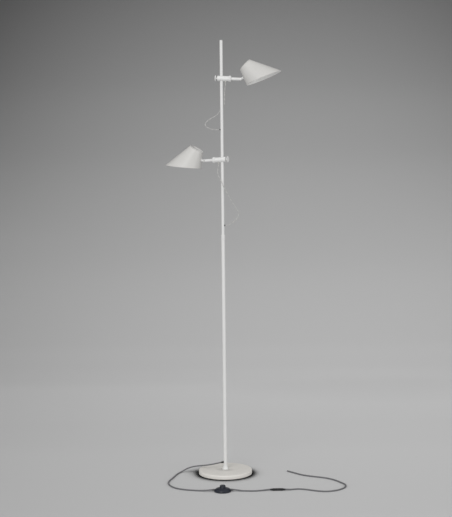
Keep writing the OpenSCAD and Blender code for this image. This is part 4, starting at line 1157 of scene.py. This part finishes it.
class LampFootSwitch(bpy.types.Operator):
    """Make the foot switch's cover, its button and the sleeves at the cord's entries"""

    bl_idname = "lamp.foot_switch"
    bl_label = "Foot switch"

    def execute(self, context):
        finish = finishes()
        place = shift(-10, -250, 0)
        R, rim, top, w = SWITCH_R, SWITCH_RIM, SWITCH_TOP, SWITCH_WALL
        profile = [(R - w, 0.6), (R - 0.4, 0.6), (R, 1), (R, rim - 1.2), (R - 0.3, rim - 0.7),
                   (R - 0.9, rim - 0.5), (R - 0.9, rim - 0.1)]
        profile += bent(Vector((R - 0.6, rim)), Vector((0.87 * R, 0.9 * top)), Vector((12.2, top - 0.4)), 16)
        profile += [(11.8, top), (10.8, top), (10.3, top - 0.4), (10.3, top - w), (12.5, top - w), (17.7, 11.1),
                    (22.6, 9.3), (26.1, 6.8), (27.6, 4.5), (R - w, 3)]
        cover = turned("switch_dome", profile, place, finish["switch"], 128)
        body = join("foot_switch_cover", [cover] + self.sleeves(place, finish))
        settle(body, "pole", "switch_plastic", "switch_cover", "switch_sleeves")
        self.button(place, finish)
        self.spring(finish)
        return {"FINISHED"}

    def spring(self, finish):
        """The coil under the button, which shortens as the button goes down."""
        low, high = (Vector(corner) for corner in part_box("switch_spring"))
        wire = 1 * MM
        foot = Vector(((low.x + high.x) / 2, (low.y + high.y) / 2, low.z + wire / 2))
        rise = Vector((0, 0, high.z - low.z - wire))
        coil = made_shape("foot_switch_spring", "Coil spring", Matrix.Translation(foot), {
            "Radius": (high.x - low.x - wire) / 2, "Height": rise.z, "Turns": 6.0, "Wire": wire,
            "Material": finish["steel"]})
        settle(coil, None, "steel", "switch_spring")
        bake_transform(coil)

    def sleeves(self, place, finish):
        """Short ribbed sleeves where the cord goes in and out."""
        profile = [(2.6, 18.5), (3.4, 18.5), (3.5, 31)]
        for k in range(3):
            r, x = 3.4 - 0.2 * k, 31.8 + 1.8 * k
            profile += [(r, x), (r, x + 0.8), (r - 0.4, x + 1), (r - 0.4, x + 1.5)]
        profile += [(2.9, 37.4), (2.8, 38), (2.6, 38.2)]
        return [turned("switch_sleeve", profile,
                       along_x(place @ shift(0, 0, 6) @ Matrix.Rotation(math.pi * side, 4, "Z")),
                       finish["rubber"], 40) for side in (0, 1)]

    def button(self, place, finish):
        """The pressed cap, with grooves round its top and its flange under the cover."""
        r, top, flange = 10, 23, SWITCH_TOP - SWITCH_WALL - 1.6
        profile = [(0, top - 2.5), (r - 2.4, top - 2.5), (r - 2.4, flange), (r + 1.1, flange),
                   (r + 1.2, flange + 0.2), (r + 1.2, flange + 1.3), (r, flange + 1.4), (r, top - 3),
                   (r - 0.3, top - 1.4), (r - 1, top - 0.5), (r - 2, top - 0.1)]
        for x in (r - 3 - 1.8 * k for k in range(3)):
            profile += [(x, top - 0.1), (x - 0.3, top - 0.5), (x - 0.6, top - 0.5), (x - 0.9, top - 0.1)]
        profile += [(2.5, top), (0, top)]
        cap = turned("switch_cap", profile, place, finish["switch"])
        ribs = ring_of_ribs("switch_cap_ribs", place, top - 5.5, r - 0.05, 48, (0.5, 0.5, 5.2), finish["switch"])
        piece = join("foot_switch_button", [cap, ribs])
        settle(piece, "switch_button_body", "switch_plastic", "switch_button")


class LampConnector(bpy.types.Operator):
    """Make the two halves of the inline connector"""

    bl_idname = "lamp.connector"
    bl_label = "Inline connector"

    def execute(self, context):
        finish = finishes()
        R, both_halves = 4.3, 54
        profile = [(0, 0), (2.7, 0), (2.8, 0.4)]
        for k in range(4):
            x, r = 1 + 1.9 * k, 2.9 + 0.18 * k
            profile += [(r, x), (r + 0.1, x + 0.9), (r - 0.3, x + 1.2), (r - 0.3, x + 1.6)]
        profile += [(3.6, 8.8), (R - 0.4, 9.2), (R, 9.8)]
        profile += again(4, 2.4, [(R, 12.5), (R - 0.4, 12.8), (R - 0.4, 13.4), (R, 13.7)])
        profile += [(R, 26.2), (R - 0.4, 26.7), (R - 0.7, 26.95), (1.4, 26.95), (1.3, 26.2), (1.3, 16.5), (0, 16.5)]
        start = shift(158, -246, 4.4)
        for name, node, place in (
                ("inline_connector_socket", "connector_socket", along_x(start)),
                ("inline_connector_plug", "connector_plug", along_x(start, both_halves, flip=True))):
            half = turned(name, profile, place, finish["plastic"], 64)
            settle(half, "pole", "black_plastic", node)
        return {"FINISHED"}


class LampPanel(bpy.types.Panel):
    """Lists the lamp's pieces in the sidebar"""

    bl_idname = "VIEW3D_PT_lamp"
    bl_label = "Pole floor lamp"
    bl_space_type = "VIEW_3D"
    bl_region_type = "UI"
    bl_category = "Lamp"

    def draw(self, context):
        for kind in PIECES:
            self.layout.operator(kind.bl_idname)
        for group in (context.scene.lamp_sizes, context.scene.lamp_colours, context.scene.lamp_stage):
            box = self.layout.box()
            for key in group.__annotations__:
                box.prop(group, key)


PIECES = (LampStageBuild, LampCords, LampSolids, LampBase, LampPole, LampClamps, LampShades, LampBulbs,
          LampFootSwitch, LampConnector)
CLASSES = (LampSizes, LampColours, LampStage) + PIECES + (LampPanel,)


def register():
    for kind in CLASSES:
        bpy.utils.register_class(kind)
    bpy.types.Scene.lamp_sizes = bpy.props.PointerProperty(type=LampSizes)
    bpy.types.Scene.lamp_colours = bpy.props.PointerProperty(type=LampColours)
    bpy.types.Scene.lamp_stage = bpy.props.PointerProperty(type=LampStage)


def unregister():
    for name in ("lamp_sizes", "lamp_colours", "lamp_stage"):
        delattr(bpy.types.Scene, name)
    for kind in reversed(CLASSES):
        bpy.utils.unregister_class(kind)


def main():
    register()
    for kind in PIECES:
        area, name = kind.bl_idname.split(".")
        getattr(getattr(bpy.ops, area), name)()
    declare_cords()


if __name__ == "__main__":
    main()
